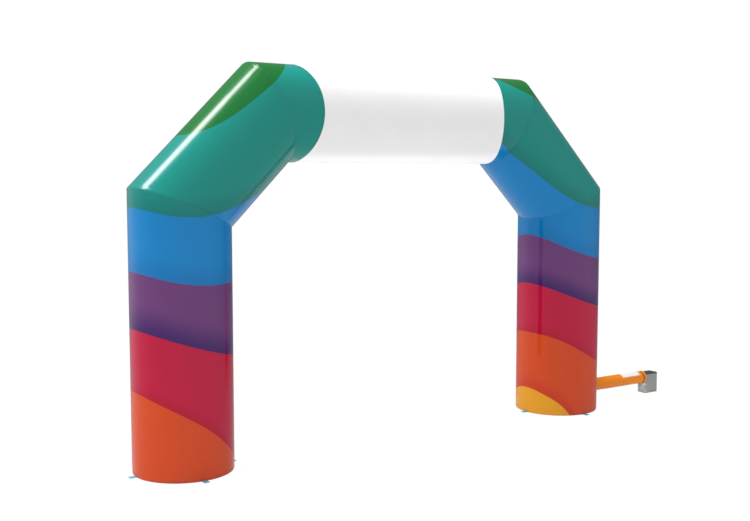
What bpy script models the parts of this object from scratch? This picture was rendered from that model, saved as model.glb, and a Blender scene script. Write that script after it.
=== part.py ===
"""Inflatable event arch with its blower, in metres, +Z up.

Five air-filled fabric tubes of one diameter are joined by mitred seams: two upright legs, two sloping
shoulders and a level beam. Each leg stands on a sewn-in floor panel with four webbing tabs round its
hem. An orange sleeve carries air from the blower to the right leg. The origin is on the ground, in the
middle of the arch and blower together; the tubes' axes lie in the plane Y = 0.
"""

import math

import bmesh
import bpy
from mathutils import Matrix, Vector

# Driving dimensions
TUBE_RADIUS = 0.5
LEG_SPACING = 5.0  # between the legs' axes
KNEE_HEIGHT = 2.585  # where a leg's axis meets a shoulder's
BEAM_HEIGHT = 3.535  # of the beam's axis
SHOULDER_RUN = 0.945  # level distance that a shoulder's axis covers
ARCH_CENTRE_X = -0.609  # the blower on the right balances this shift

PIECE_GAP = 0.0003
TUBE_SIDES = 48

# Draw-in of the cloth beside a seam: (distance from the seam, loss of radius)
MITRE_DRAW_IN = ((0.0, 0.0050), (0.012, 0.0028), (0.035, 0.0010), (0.08, 0.0))
HEM_INSET = 0.004
HEM_DRAW_IN = ((0.0, HEM_INSET), (0.03, HEM_INSET), (0.06, 0.0))

FLOOR_THICKNESS = 0.002

TAB_WIDTH = 0.06
TAB_THICKNESS = 0.004  # one webbing folded on itself
TAB_TIP_RADIUS = 0.562  # from the leg's axis to the fold
TAB_FOLD_ROUNDING = 0.0018
TAB_SIDES = {"outer": 180, "front": 270, "inner": 0, "back": 90}  # degrees from +X, seen on the left leg

BLOWER_DISTANCE = 1.06  # from the right leg's skin to the blower's housing
BLOWER_SIZE = Vector((0.22, 0.14, 0.266))
LID_THICKNESS = 0.0157
HOUSING_ROUNDING = 0.006
LID_ROUNDING = 0.004
NOZZLE_RADIUS = 0.062
NOZZLE_LENGTH = 0.07
INLET_SIZE = Vector((0.034, 0.008, 0.026))
INLET_HEIGHT = 0.06

SLEEVE_RADIUS = 0.08
SLEEVE_HEIGHT = 0.21
SLEEVE_SIDES = 32
SLEEVE_START = 0.03  # how far the uncut sleeve reaches into the leg
# The cuff on the nozzle: (distance from the blower's housing, radius), towards the blower
CUFF_PROFILE = (
    (0.100, 0.0800),
    (0.085, 0.0812),
    (0.068, 0.0822),
    (0.054, 0.0800),
    (0.042, 0.0720),
    (0.026, 0.0720),
    (0.015, 0.0800),
    (0.006, 0.0832),
    (PIECE_GAP, 0.0815),
)
TIE_EDGES = (0.0415, 0.0265)
TIE_INNER_RADIUS = 0.0723
TIE_THICKNESS = 0.0022

PATCH_ENDS = (0.43, 0.11)  # distances from the blower's housing
PATCH_FIRST_FACET = 3
PATCH_FACETS = 7
PATCH_THICKNESS = 0.0012

# Places worked out from the driving dimensions
LEG_X = {"left": ARCH_CENTRE_X - LEG_SPACING / 2, "right": ARCH_CENTRE_X + LEG_SPACING / 2}
LEG_SKIN_X = LEG_X["right"] + TUBE_RADIUS * math.cos(math.pi / TUBE_SIDES)
BLOWER_LEFT_X = LEG_X["right"] + TUBE_RADIUS + BLOWER_DISTANCE
BLOWER_X = BLOWER_LEFT_X + BLOWER_SIZE.x / 2
UP = Vector((0, 0, 1))


def clear_scene():
    """Removes every object that the file starts with."""
    for obj in list(bpy.data.objects):
        bpy.data.objects.remove(obj)


def make_collection(name):
    """Adds a collection to the scene."""
    collection = bpy.data.collections.new(name)
    bpy.context.scene.collection.children.link(collection)
    return collection


def material(name, colour, roughness, metallic=0.0):
    """Makes a Principled BSDF material with one colour."""
    mat = bpy.data.materials.new(name)
    mat.use_nodes = True
    shader = mat.node_tree.nodes["Principled BSDF"]
    shader.inputs["Base Color"].default_value = (*colour, 1.0)
    shader.inputs["Roughness"].default_value = roughness
    shader.inputs["Metallic"].default_value = metallic
    return mat


def add_piece(name, bm, collection, mat, smooth_angle=30):
    """Turns a bmesh into a named object with its material, shaded smooth below the given angle."""
    mesh = bpy.data.meshes.new(name)
    bm.to_mesh(mesh)
    bm.free()
    mesh.shade_smooth()
    mesh.set_sharp_from_angle(angle=math.radians(smooth_angle))
    mesh.materials.append(mat)
    obj = bpy.data.objects.new(name, mesh)
    collection.objects.link(obj)
    return obj


def facet_radius(apothem, sides):
    """Corner radius of a regular polygon whose flats lie at the given apothem."""
    return apothem / math.cos(math.pi / sides)


def tube_frame(centre, axis):
    """Matrix that lays a primitive's Z along a tube's axis, with two flats facing front and back."""
    side = Vector((0, 1, 0))
    across = side.cross(axis)
    turn = Matrix((across, side, axis)).transposed().to_4x4()
    half_facet = Matrix.Rotation(math.pi / TUBE_SIDES, 4, "Z")
    return Matrix.Translation(centre) @ turn @ half_facet


def cut_tube_end(bm, point, normal, axis, draw_in):
    """Cuts a tube at a seam plane and adds the loops beside the seam. Returns each loop's drawn-in places."""
    places = []
    for distance, loss in draw_in:
        cut = bmesh.ops.bisect_plane(
            bm,
            geom=bm.verts[:] + bm.edges[:] + bm.faces[:],
            dist=1e-6,
            plane_co=point - normal * distance,
            plane_no=normal,
            clear_outer=distance == 0.0,
        )
        centre = point - axis * (distance / normal.dot(axis))
        for vert in (g for g in cut["geom_cut"] if isinstance(g, bmesh.types.BMVert)):
            places.append((vert, centre + (vert.co - centre) * (1 - loss / TUBE_RADIUS)))
    return places


def add_tube(name, start, end, start_cut, end_cut, collection, mat):
    """Makes an air-filled tube between two points. A cut is (plane normal out of the tube, draw-in table)."""
    axis = (end - start).normalized()
    bm = bmesh.new()
    bmesh.ops.create_cone(
        bm,
        cap_ends=False,
        segments=TUBE_SIDES,
        radius1=TUBE_RADIUS,
        radius2=TUBE_RADIUS,
        depth=(end - start).length + 4 * TUBE_RADIUS,
        matrix=tube_frame((start + end) / 2, axis),
    )
    places = cut_tube_end(bm, start, start_cut[0], -axis, start_cut[1])
    places += cut_tube_end(bm, end, end_cut[0], axis, end_cut[1])
    for vert, place in places:
        vert.co = place
    bmesh.ops.holes_fill(bm, edges=bm.edges[:], sides=0)
    bmesh.ops.recalc_face_normals(bm, faces=bm.faces[:])
    return add_piece(name, bm, collection, mat)


def seam_cut(point, toward, beyond):
    """Mitre between two tubes that meet at a point: the cut of the first, just short of the seam plane."""
    normal = ((point - toward).normalized() + (beyond - point).normalized()).normalized()
    return point - normal * PIECE_GAP / 2, normal


def add_arch(collection, mats):
    """The legs, shoulders and beam, with a narrow gap at each mitre."""
    half = LEG_SPACING / 2
    spine = [
        Vector((ARCH_CENTRE_X - half, 0, 0)),
        Vector((ARCH_CENTRE_X - half, 0, KNEE_HEIGHT)),
        Vector((ARCH_CENTRE_X - half + SHOULDER_RUN, 0, BEAM_HEIGHT)),
        Vector((ARCH_CENTRE_X + half - SHOULDER_RUN, 0, BEAM_HEIGHT)),
        Vector((ARCH_CENTRE_X + half, 0, KNEE_HEIGHT)),
        Vector((ARCH_CENTRE_X + half, 0, 0)),
    ]
    names = ["leg_left", "shoulder_left", "beam", "shoulder_right", "leg_right"]
    ground = UP * (FLOOR_THICKNESS + PIECE_GAP)
    for i, name in enumerate(names):
        start, end = spine[i], spine[i + 1]
        if i == 0:
            start, start_cut = start + ground, (-UP, HEM_DRAW_IN)
        else:
            start, normal = seam_cut(start, end, spine[i - 1])
            start_cut = (normal, MITRE_DRAW_IN)
        if i == len(names) - 1:
            end, end_cut = end + ground, (-UP, HEM_DRAW_IN)
        else:
            end, normal = seam_cut(end, spine[i], spine[i + 2])
            end_cut = (normal, MITRE_DRAW_IN)
        add_tube(name, start, end, start_cut, end_cut, collection, mats[name])


def add_floor(side, collection, mat):
    """The sewn-in panel under a leg."""
    bm = bmesh.new()
    bmesh.ops.create_cone(
        bm,
        cap_ends=True,
        segments=TUBE_SIDES,
        radius1=TUBE_RADIUS - HEM_INSET,
        radius2=TUBE_RADIUS - HEM_INSET,
        depth=FLOOR_THICKNESS,
        matrix=tube_frame(Vector((LEG_X[side], 0, FLOOR_THICKNESS / 2)), UP),
    )
    return add_piece(f"floor_{side}", bm, collection, mat)


def add_tab(side, place, degrees, collection, mat):
    """A folded webbing tab, flat on the ground against a leg's hem, with its fold outwards."""
    root = (TUBE_RADIUS - HEM_INSET) * math.cos(math.pi / TUBE_SIDES) + PIECE_GAP
    length = TAB_TIP_RADIUS - root
    bm = bmesh.new()
    size = Matrix.Diagonal((length, TAB_WIDTH, TAB_THICKNESS, 1))
    place_matrix = Matrix.Translation((root + length / 2, 0, TAB_THICKNESS / 2))
    bmesh.ops.create_cube(bm, size=1.0, matrix=place_matrix @ size)
    tip_edges = [e for e in bm.edges if all(v.co.x > TAB_TIP_RADIUS - PIECE_GAP for v in e.verts)]
    fold = [e for e in tip_edges if e.verts[0].co.z == e.verts[1].co.z]
    bmesh.ops.bevel(bm, geom=fold, offset=TAB_FOLD_ROUNDING, segments=3, profile=0.5, affect="EDGES")
    obj = add_piece(f"tab_{side}_{place}", bm, collection, mat)
    obj.location = (LEG_X[side], 0, 0)
    obj.rotation_euler.z = math.radians(degrees)
    return obj


def turned(name, profile, sides, collection, mat, angle=math.tau):
    """Spins a profile of (distance along, radius) about Z, first point to last."""
    bm = bmesh.new()
    verts = [bm.verts.new((radius, 0, along)) for along, radius in profile]
    for a, b in zip(verts, verts[1:]):
        bm.edges.new((a, b))
    obj = add_piece(name, bm, collection, mat)
    screw = obj.modifiers.new("Turn", "SCREW")
    screw.angle = angle
    screw.steps = sides
    screw.render_steps = sides
    screw.use_merge_vertices = True
    screw.merge_threshold = 0.0001
    screw.use_smooth_shade = True
    return obj


def lay_along_sleeve(obj):
    """Lays a turned piece on the sleeve's axis: its own Z runs to -X from the blower's housing."""
    obj.rotation_euler = (0, -math.pi / 2, 0)
    obj.location = (BLOWER_LEFT_X, 0, SLEEVE_HEIGHT)


def add_leg_cutter(collection, mat):
    """A copy of the right leg's skin, one gap larger, that trims the sleeve's end to the leg."""
    bm = bmesh.new()
    radius = facet_radius(LEG_SKIN_X - LEG_X["right"] + PIECE_GAP, TUBE_SIDES)
    bmesh.ops.create_cone(
        bm,
        cap_ends=True,
        segments=TUBE_SIDES,
        radius1=radius,
        radius2=radius,
        depth=4 * SLEEVE_RADIUS,
        matrix=tube_frame(Vector((LEG_X["right"], 0, SLEEVE_HEIGHT)), UP),
    )
    cutter = add_piece("leg_cutter", bm, collection, mat)
    cutter.hide_render = True
    cutter.display_type = "WIRE"
    return cutter


def add_sleeve(collection, cutters, mats):
    """The air sleeve from the leg to the blower, its tie and its bare white patch."""
    far_end = BLOWER_LEFT_X - LEG_SKIN_X + SLEEVE_START
    socket_depth = NOZZLE_LENGTH + 2 * PIECE_GAP
    socket_radius = NOZZLE_RADIUS + PIECE_GAP
    profile = [(far_end, 0), (far_end, SLEEVE_RADIUS), *CUFF_PROFILE]
    profile += [(PIECE_GAP, socket_radius), (socket_depth, socket_radius), (socket_depth, 0)]
    sleeve = turned("sleeve", profile, SLEEVE_SIDES, collection, mats["sleeve"])
    lay_along_sleeve(sleeve)
    trim = sleeve.modifiers.new("Trim to leg", "BOOLEAN")
    trim.operation = "DIFFERENCE"
    trim.solver = "EXACT"
    trim.object = add_leg_cutter(cutters, mats["sleeve"])

    high, low = TIE_EDGES
    outer = TIE_INNER_RADIUS + TIE_THICKNESS
    ring = [(high, TIE_INNER_RADIUS), (high, outer), (low, outer), (low, TIE_INNER_RADIUS)]
    ring.append(ring[0])
    tie = turned("sleeve_tie", ring, SLEEVE_SIDES, collection, mats["sleeve_tie"])
    lay_along_sleeve(tie)

    facet = math.tau / SLEEVE_SIDES
    inner = SLEEVE_RADIUS + facet_radius(PIECE_GAP, SLEEVE_SIDES)
    edge = [(PATCH_ENDS[0], inner), (PATCH_ENDS[1], inner)]
    patch = turned("sleeve_patch", edge, PATCH_FACETS, collection, mats["sleeve_patch"], PATCH_FACETS * facet)
    lay_along_sleeve(patch)
    patch.rotation_euler.rotate(Matrix.Rotation(math.pi / 2 - PATCH_FIRST_FACET * facet, 3, "X"))
    wall = patch.modifiers.new("Thickness", "SOLIDIFY")
    wall.thickness = PATCH_THICKNESS
    wall.offset = 1.0
    wall.use_even_offset = True


def add_box(name, low, high, rounding, collection, mat):
    """A box between two corners with rounded edges."""
    low, high = Vector(low), Vector(high)
    bm = bmesh.new()
    size = Matrix.Diagonal((*(high - low), 1))
    bmesh.ops.create_cube(bm, size=1.0, matrix=Matrix.Translation((low + high) / 2) @ size)
    obj = add_piece(name, bm, collection, mat)
    bevel = obj.modifiers.new("Rounding", "BEVEL")
    bevel.width = rounding
    bevel.segments = 2
    return obj


def add_blower(collection, mats):
    """The blower's housing with its intake lid, outlet nozzle and power inlet."""
    half_depth = BLOWER_SIZE.y / 2
    right = BLOWER_LEFT_X + BLOWER_SIZE.x
    lid_base = BLOWER_SIZE.z - LID_THICKNESS
    housing_top = lid_base - PIECE_GAP
    add_box(
        "blower_housing",
        (BLOWER_LEFT_X, -half_depth, 0),
        (right, half_depth, housing_top),
        HOUSING_ROUNDING,
        collection,
        mats["blower_housing"],
    )
    add_box(
        "blower_lid",
        (BLOWER_LEFT_X, -half_depth, lid_base),
        (right, half_depth, BLOWER_SIZE.z),
        LID_ROUNDING,
        collection,
        mats["blower_lid"],
    )
    inlet_face = half_depth + PIECE_GAP
    add_box(
        "power_inlet",
        (BLOWER_X - INLET_SIZE.x / 2, inlet_face, INLET_HEIGHT - INLET_SIZE.z / 2),
        (BLOWER_X + INLET_SIZE.x / 2, inlet_face + INLET_SIZE.y, INLET_HEIGHT + INLET_SIZE.z / 2),
        INLET_SIZE.y / 6,
        collection,
        mats["power_inlet"],
    )
    outline = [(NOZZLE_LENGTH + PIECE_GAP, 0), (NOZZLE_LENGTH + PIECE_GAP, NOZZLE_RADIUS)]
    outline += [(PIECE_GAP, NOZZLE_RADIUS), (PIECE_GAP, 0)]
    nozzle = turned("blower_nozzle", outline, SLEEVE_SIDES, collection, mats["blower_nozzle"])
    lay_along_sleeve(nozzle)


def make_materials():
    """One material for each sub-part that stands alone or repeats."""
    return {
        "leg_left": material("leg_left_skin", (0.52, 0.03, 0.07), 0.25),
        "leg_right": material("leg_right_skin", (0.55, 0.07, 0.03), 0.25),
        "shoulder_left": material("shoulder_left_skin", (0.02, 0.27, 0.22), 0.25),
        "shoulder_right": material("shoulder_right_skin", (0.03, 0.23, 0.45), 0.25),
        "beam": material("beam_skin", (0.85, 0.85, 0.85), 0.3),
        "floor": material("floor_cloth", (0.05, 0.05, 0.055), 0.7),
        "tab": material("tab_webbing", (0.10, 0.32, 0.55), 0.8),
        "sleeve": material("sleeve_cloth", (0.80, 0.24, 0.03), 0.5),
        "sleeve_tie": material("tie_webbing", (0.20, 0.10, 0.05), 0.8),
        "sleeve_patch": material("patch_cloth", (0.88, 0.88, 0.88), 0.5),
        "blower_housing": material("housing_plastic", (0.30, 0.31, 0.30), 0.5),
        "blower_lid": material("lid_plastic", (0.03, 0.03, 0.035), 0.6),
        "blower_nozzle": material("nozzle_plastic", (0.03, 0.03, 0.035), 0.6),
        "power_inlet": material("inlet_plastic", (0.02, 0.02, 0.02), 0.6),
    }


def main():
    """Builds every piece of the arch."""
    clear_scene()
    pieces = make_collection("Inflatable arch")
    cutters = make_collection("Cutters")
    mats = make_materials()
    add_arch(pieces, mats)
    for side in LEG_X:
        add_floor(side, pieces, mats["floor"])
        mirror = 0 if side == "left" else 180
        for place, degrees in TAB_SIDES.items():
            turn = degrees if place in ("front", "back") else degrees + mirror
            add_tab(side, place, turn, pieces, mats["tab"])
    add_sleeve(pieces, cutters, mats)
    add_blower(pieces, mats)


main()
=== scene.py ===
"""The looks of the inflatable arch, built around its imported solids.

Five printed tubes of coated cloth are sewn to each other on mitre seams. Two legs stand on sewn-in
floor panels with webbing ground tabs, and an orange air sleeve leads from the right leg to a small blower.
All sizes are in metres.
"""

import logging
import math
from contextlib import contextmanager
from dataclasses import dataclass, field, replace
from enum import Enum
from functools import cache, reduce
from typing import Callable, ClassVar, Iterator, NamedTuple, Sequence

import bmesh
import bpy
import numpy as np
from mathutils import Matrix, Vector


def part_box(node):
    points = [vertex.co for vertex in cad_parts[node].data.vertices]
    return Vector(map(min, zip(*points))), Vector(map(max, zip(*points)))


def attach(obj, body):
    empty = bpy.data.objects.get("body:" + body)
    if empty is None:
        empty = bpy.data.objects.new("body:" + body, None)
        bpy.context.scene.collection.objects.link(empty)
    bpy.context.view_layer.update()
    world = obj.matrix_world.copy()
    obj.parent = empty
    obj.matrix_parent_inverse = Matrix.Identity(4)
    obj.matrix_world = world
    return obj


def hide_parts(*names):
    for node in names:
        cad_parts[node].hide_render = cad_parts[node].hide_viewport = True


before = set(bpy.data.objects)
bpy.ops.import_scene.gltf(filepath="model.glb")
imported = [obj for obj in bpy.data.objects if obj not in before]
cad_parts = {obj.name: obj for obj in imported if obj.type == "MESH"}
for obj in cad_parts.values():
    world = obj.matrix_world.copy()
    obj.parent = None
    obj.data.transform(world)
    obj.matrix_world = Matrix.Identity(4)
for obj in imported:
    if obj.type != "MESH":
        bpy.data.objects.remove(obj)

LOG = logging.getLogger("inflatable_arch")

BODY = "root"

ARCH_CENTRE_X = -0.609
LEG_SPACING = 5.0
KNEE_HEIGHT = 2.585
BEAM_HEIGHT = 3.535
SHOULDER_RUN = 0.945
TUBE_RADIUS = 0.5
FLOOR_THICKNESS = 0.002
PIECE_GAP = 0.0003
AIR_HEIGHT = 0.21
HOUSING_FACE = 3.451
TIE_INSET = 0.034
NEAR = 1e-5
FACING = 0.99
SHARP_TURN = 1.2

RIGHTWARD = Vector((1.0, 0.0, 0.0))
BACK = Vector((0.0, 1.0, 0.0))
UP = Vector((0.0, 0.0, 1.0))

Piece = bpy.types.Object
Socket = bpy.types.NodeSocket
Sockets = dict[str, Socket]
Node = bpy.types.Node


class Side(Enum):
    """The two halves of the arch, by the sign of their place along it."""

    LEFT = -1
    RIGHT = 1

    @property
    def word(self) -> str:
        """The side's name as it stands in a piece's name."""
        return self.name.lower()

    @property
    def leg_axis(self) -> float:
        """How far along the arch this side's leg stands."""
        return ARCH_CENTRE_X + self.value * LEG_SPACING / 2


class Slot(Enum):
    """The finishes that the record names."""

    SKIN = "printed_skin"
    FLOOR = "floor_cloth"
    TAB = "tab_webbing"
    SLEEVE = "sleeve_cloth"
    TIE = "tie_webbing"
    PATCH = "patch_cloth"
    HOUSING = "housing"
    BLACK = "black_plastic"


class Element(Enum):
    """What a selection is made of in edit mode."""

    POINT = "verts"
    EDGE = "edges"
    FACE = "faces"

    @property
    def mode(self) -> str:
        """The name of its select mode."""
        return self.value[:-1].upper()


class Bench:
    """The moves made at the modelling bench, each on one piece with all else deselected."""

    @staticmethod
    def clear() -> None:
        """Goes back to object mode and deselects everything."""
        if bpy.context.mode != "OBJECT":
            bpy.ops.object.mode_set(mode="OBJECT")
        bpy.ops.object.select_all(action="DESELECT")

    @staticmethod
    def take(piece: Piece) -> None:
        """Selects one piece alone and makes it active.

        Args:
            piece: The piece.
        """
        Bench.clear()
        piece.select_set(True)
        bpy.context.view_layer.objects.active = piece

    @staticmethod
    @contextmanager
    def editing(piece: Piece) -> Iterator[None]:
        """Opens a piece in edit mode with nothing selected, and closes it afterwards.

        Args:
            piece: The piece.
        """
        Bench.take(piece)
        bpy.ops.object.mode_set(mode="EDIT")
        bpy.ops.mesh.select_mode(type="VERT")
        bpy.ops.mesh.select_all(action="DESELECT")
        yield
        bpy.ops.object.mode_set(mode="OBJECT")

    @staticmethod
    def pick(piece: Piece, element: Element, test: Callable[..., bool]) -> None:
        """Selects only the points, edges or faces that pass a test.

        Args:
            piece: The piece in edit mode.
            element: What to select.
            test: Says whether a point, edge or face is wanted.
        """
        bpy.ops.mesh.select_mode(type=element.mode)
        bpy.ops.mesh.select_all(action="DESELECT")
        mesh = bmesh.from_edit_mesh(piece.data)
        for item in [item for item in getattr(mesh, element.value) if test(item)]:
            item.select_set(True)
        mesh.select_flush_mode()
        bmesh.update_edit_mesh(piece.data)

    @staticmethod
    def pick_facing(piece: Piece, facing: Vector) -> None:
        """Selects only the flat faces that look straight in a direction, in edit mode."""
        Bench.pick(piece, Element.FACE, lambda face: face.normal.dot(facing) > FACING)

    @staticmethod
    def pick_running(piece: Piece, way: Vector, least: float) -> None:
        """Selects only the edges that reach further than a length along a direction, in edit mode."""
        Bench.pick(piece, Element.EDGE, lambda e: abs((e.verts[0].co - e.verts[1].co).dot(way)) > least)

    @staticmethod
    def pick_points(piece: Piece, numbers: Sequence[int]) -> None:
        """Selects only the points at these places in the mesh's list, in edit mode."""
        wanted = set(numbers)
        Bench.pick(piece, Element.POINT, lambda point: point.index in wanted)

    @staticmethod
    def cut(point: Vector, normal: Vector, clear: bool = False) -> None:
        """Cuts what is selected along a plane, and clears the side that the normal points to if asked."""
        bpy.ops.mesh.bisect(plane_co=point, plane_no=normal, clear_outer=clear, use_fill=clear)

    @staticmethod
    def cut_all(point: Vector, normal: Vector, clear: bool = False) -> None:
        """Cuts the whole piece along a plane, in edit mode."""
        bpy.ops.mesh.select_all(action="SELECT")
        Bench.cut(point, normal, clear)

    @staticmethod
    def bevel(width: float, segments: int = 2) -> None:
        """Rounds the selected edges, in edit mode."""
        bpy.ops.mesh.bevel(offset=width, segments=segments, affect="EDGES")

    @staticmethod
    def inset(width: float, depth: float = 0.0) -> None:
        """Sets a border inside the selected faces, and moves what it encloses, in edit mode."""
        bpy.ops.mesh.inset(thickness=width, depth=depth)

    @staticmethod
    def pull(move: Vector) -> None:
        """Extrudes the selected faces together, in edit mode."""
        bpy.ops.mesh.extrude_region_move(TRANSFORM_OT_translate={"value": move})

    @staticmethod
    def settle() -> Piece:
        """Writes the active piece's place, turn and scale into its mesh, and returns the piece."""
        bpy.ops.object.transform_apply(location=True, rotation=True, scale=True)
        return bpy.context.object

    @staticmethod
    def start(add: Callable[..., object], **sizes: object) -> Piece:
        """Adds a primitive, with its place in its mesh.

        Args:
            add: The operator that adds it.
            **sizes: Its sizes and place, by the operator's names.

        Returns:
            The new piece.
        """
        Bench.clear()
        add(**sizes)
        return Bench.settle()

    @staticmethod
    def box(low: Vector, high: Vector) -> Piece:
        """Adds a block between its lowest and its highest corner."""
        middle, size = (low + high) / 2, high - low
        return Bench.start(bpy.ops.mesh.primitive_cube_add, size=1.0, location=middle, scale=size)

    @staticmethod
    def disc(middle: Vector, radius: float, sides: int) -> Piece:
        """Adds a level round face about its middle."""
        return Bench.start(bpy.ops.mesh.primitive_circle_add, vertices=sides, radius=radius,
                           fill_type="NGON", location=middle)

    @staticmethod
    def drum(start: Vector, end: Vector, radius: float, sides: int) -> Piece:
        """Adds a closed round drum between the middles of its ends."""
        turn = UP.rotation_difference((end - start).normalized()).to_euler()
        return Bench.start(bpy.ops.mesh.primitive_cylinder_add, vertices=sides, radius=radius,
                           depth=(end - start).length, end_fill_type="NGON", location=(start + end) / 2,
                           rotation=turn)

    @staticmethod
    def mesh_piece(name: str, points: np.ndarray, faces: Sequence[Sequence[int]]) -> Piece:
        """Makes a piece from points and faces laid out by rows.

        Args:
            name: Its first name.
            points: An array with a row for each point.
            faces: The point numbers of each face.

        Returns:
            The piece, linked to the scene.
        """
        mesh = bpy.data.meshes.new(name)
        mesh.from_pydata(points.tolist(), [], [list(face) for face in faces])
        piece = bpy.data.objects.new(name, mesh)
        bpy.context.scene.collection.objects.link(piece)
        return piece

    @staticmethod
    def strip(name: str, places: Sequence[np.ndarray], across: np.ndarray, along: np.ndarray,
              thickness: float, rounding: float) -> Piece:
        """Models a strip of cloth or webbing about its middle surface, with rounded edges.

        Args:
            name: Its first name.
            places: X, Y and Z of the middle surface, each for all its points, its rows or its columns.
            across: First value of the cloth's map, given in the same way.
            along: Second value of the cloth's map, given in the same way.
            thickness: The cloth's thickness.
            rounding: Width of its rounded edges.

        Returns:
            The bare strip.
        """
        *places, across, along = np.broadcast_arrays(*places, across, along)
        rows, count = across.shape
        faces = [(r * count + k, r * count + k + 1, (r + 1) * count + k + 1, (r + 1) * count + k)
                 for r in range(rows - 1) for k in range(count - 1)]
        piece = Bench.mesh_piece(name, np.stack(places, axis=2).reshape(-1, 3), faces)
        Bench.unwrap(piece, across.ravel(), along.ravel())
        Bench.apply(piece, "SOLIDIFY", thickness=thickness, offset=0.0)
        with Bench.editing(piece):
            Bench.pick(piece, Element.EDGE, lambda e: e.calc_face_angle(0.0) > SHARP_TURN)
            Bench.bevel(rounding)
        Bench.tidy(piece, 50)
        return piece

    @staticmethod
    def apply(piece: Piece, kind: str, **settings: object) -> None:
        """Adds a modifier to a piece, sets it and applies it.

        Args:
            piece: The piece.
            kind: The modifier's type.
            **settings: Its values, by their names.
        """
        Bench.take(piece)
        bpy.ops.object.modifier_add(type=kind)
        modifier = piece.modifiers[-1]
        for name, value in settings.items():
            setattr(modifier, name, value)
        bpy.ops.object.modifier_apply(modifier=modifier.name)

    @staticmethod
    def tidy(piece: Piece, smooth_angle: float = 35.0) -> None:
        """Turns all faces outwards and shades the piece smooth up to an angle.

        Args:
            piece: The piece.
            smooth_angle: Edges sharper than this stay sharp, in degrees.
        """
        with Bench.editing(piece):
            bpy.ops.mesh.select_all(action="SELECT")
            bpy.ops.mesh.normals_make_consistent(inside=False)
        Bench.smooth(piece, smooth_angle)

    @staticmethod
    def smooth(piece: Piece, angle: float) -> None:
        """Shades a piece smooth but for edges sharper than an angle in degrees."""
        Bench.take(piece)
        bpy.ops.object.shade_smooth_by_angle(angle=math.radians(angle))

    @staticmethod
    def place(piece: Piece, name: str, slot: Slot, *finishes: "Finish", stands_for: str = "") -> Piece:
        """Names a finished piece, gives it its finishes and fixes it to the arch.

        Args:
            piece: The finished piece.
            name: Its name in the model.
            slot: The record's finish named for it; not used.
            *finishes: Its finish, or the one of the left half and the one of the right half.
            stands_for: The solid that it replaces, if it replaces one.

        Returns:
            The same piece.
        """
        piece.name = name
        piece.data.name = name
        piece.data.materials.clear()
        for finish in finishes:
            piece.data.materials.append(finish.material())
        count = len(piece.data.polygons)
        middles = np.zeros(count * 3, np.float32)
        piece.data.polygons.foreach_get("center", middles)
        right = (middles[::3] > ARCH_CENTRE_X) & (len(finishes) > 1)
        piece.data.polygons.foreach_set("material_index", right.astype(np.int32))
        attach(piece, BODY)
        if stands_for:
            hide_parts(stands_for)
        LOG.info("%s: %d faces", name, count)
        return piece

    @staticmethod
    def points(piece: Piece) -> np.ndarray:
        """Reads a piece's points.

        Args:
            piece: The piece, in object mode.

        Returns:
            An array with a row for each point.
        """
        values = np.zeros(len(piece.data.vertices) * 3, np.float32)
        piece.data.vertices.foreach_get("co", values)
        return values.reshape(-1, 3).astype(float)

    @staticmethod
    def set_points(piece: Piece, values: np.ndarray) -> None:
        """Moves the points of a piece in object mode to the rows of an array."""
        piece.data.vertices.foreach_set("co", values.astype(np.float32).ravel())
        piece.data.update()

    @staticmethod
    def unwrap(piece: Piece, across: np.ndarray, along: np.ndarray, around: float = 0.0) -> None:
        """Writes a UV map in metres from two values at each point.

        Args:
            piece: The piece, in object mode.
            across: First value at each point.
            along: Second value at each point.
            around: Length after which the first value starts again, or 0 where it doesn't.
        """
        mesh = piece.data
        corners = np.zeros(len(mesh.loops), np.int32)
        mesh.loops.foreach_get("vertex_index", corners)
        starts = np.zeros(len(mesh.polygons), np.int32)
        mesh.polygons.foreach_get("loop_start", starts)
        counts = np.zeros(len(mesh.polygons), np.int32)
        mesh.polygons.foreach_get("loop_total", counts)
        u = across[corners]
        if around:
            first = np.repeat(u[starts], counts)
            u = u - around * np.round((u - first) / around)
        layer = mesh.uv_layers.get("UVMap") or mesh.uv_layers.new(name="UVMap")
        layer.data.foreach_set("uv", np.column_stack([u, along[corners]]).astype(np.float32).ravel())


@dataclass(frozen=True)
class Colour:
    """A finish's colour, as linear shares of red, green and blue."""

    red: float
    green: float
    blue: float

    @property
    def rgba(self) -> tuple[float, float, float, float]:
        """The colour with full opacity, as sockets take it."""
        return (self.red, self.green, self.blue, 1.0)

    @classmethod
    def grey(cls, share: float) -> "Colour":
        """A grey of equal shares."""
        return cls(share, share, share)


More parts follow.
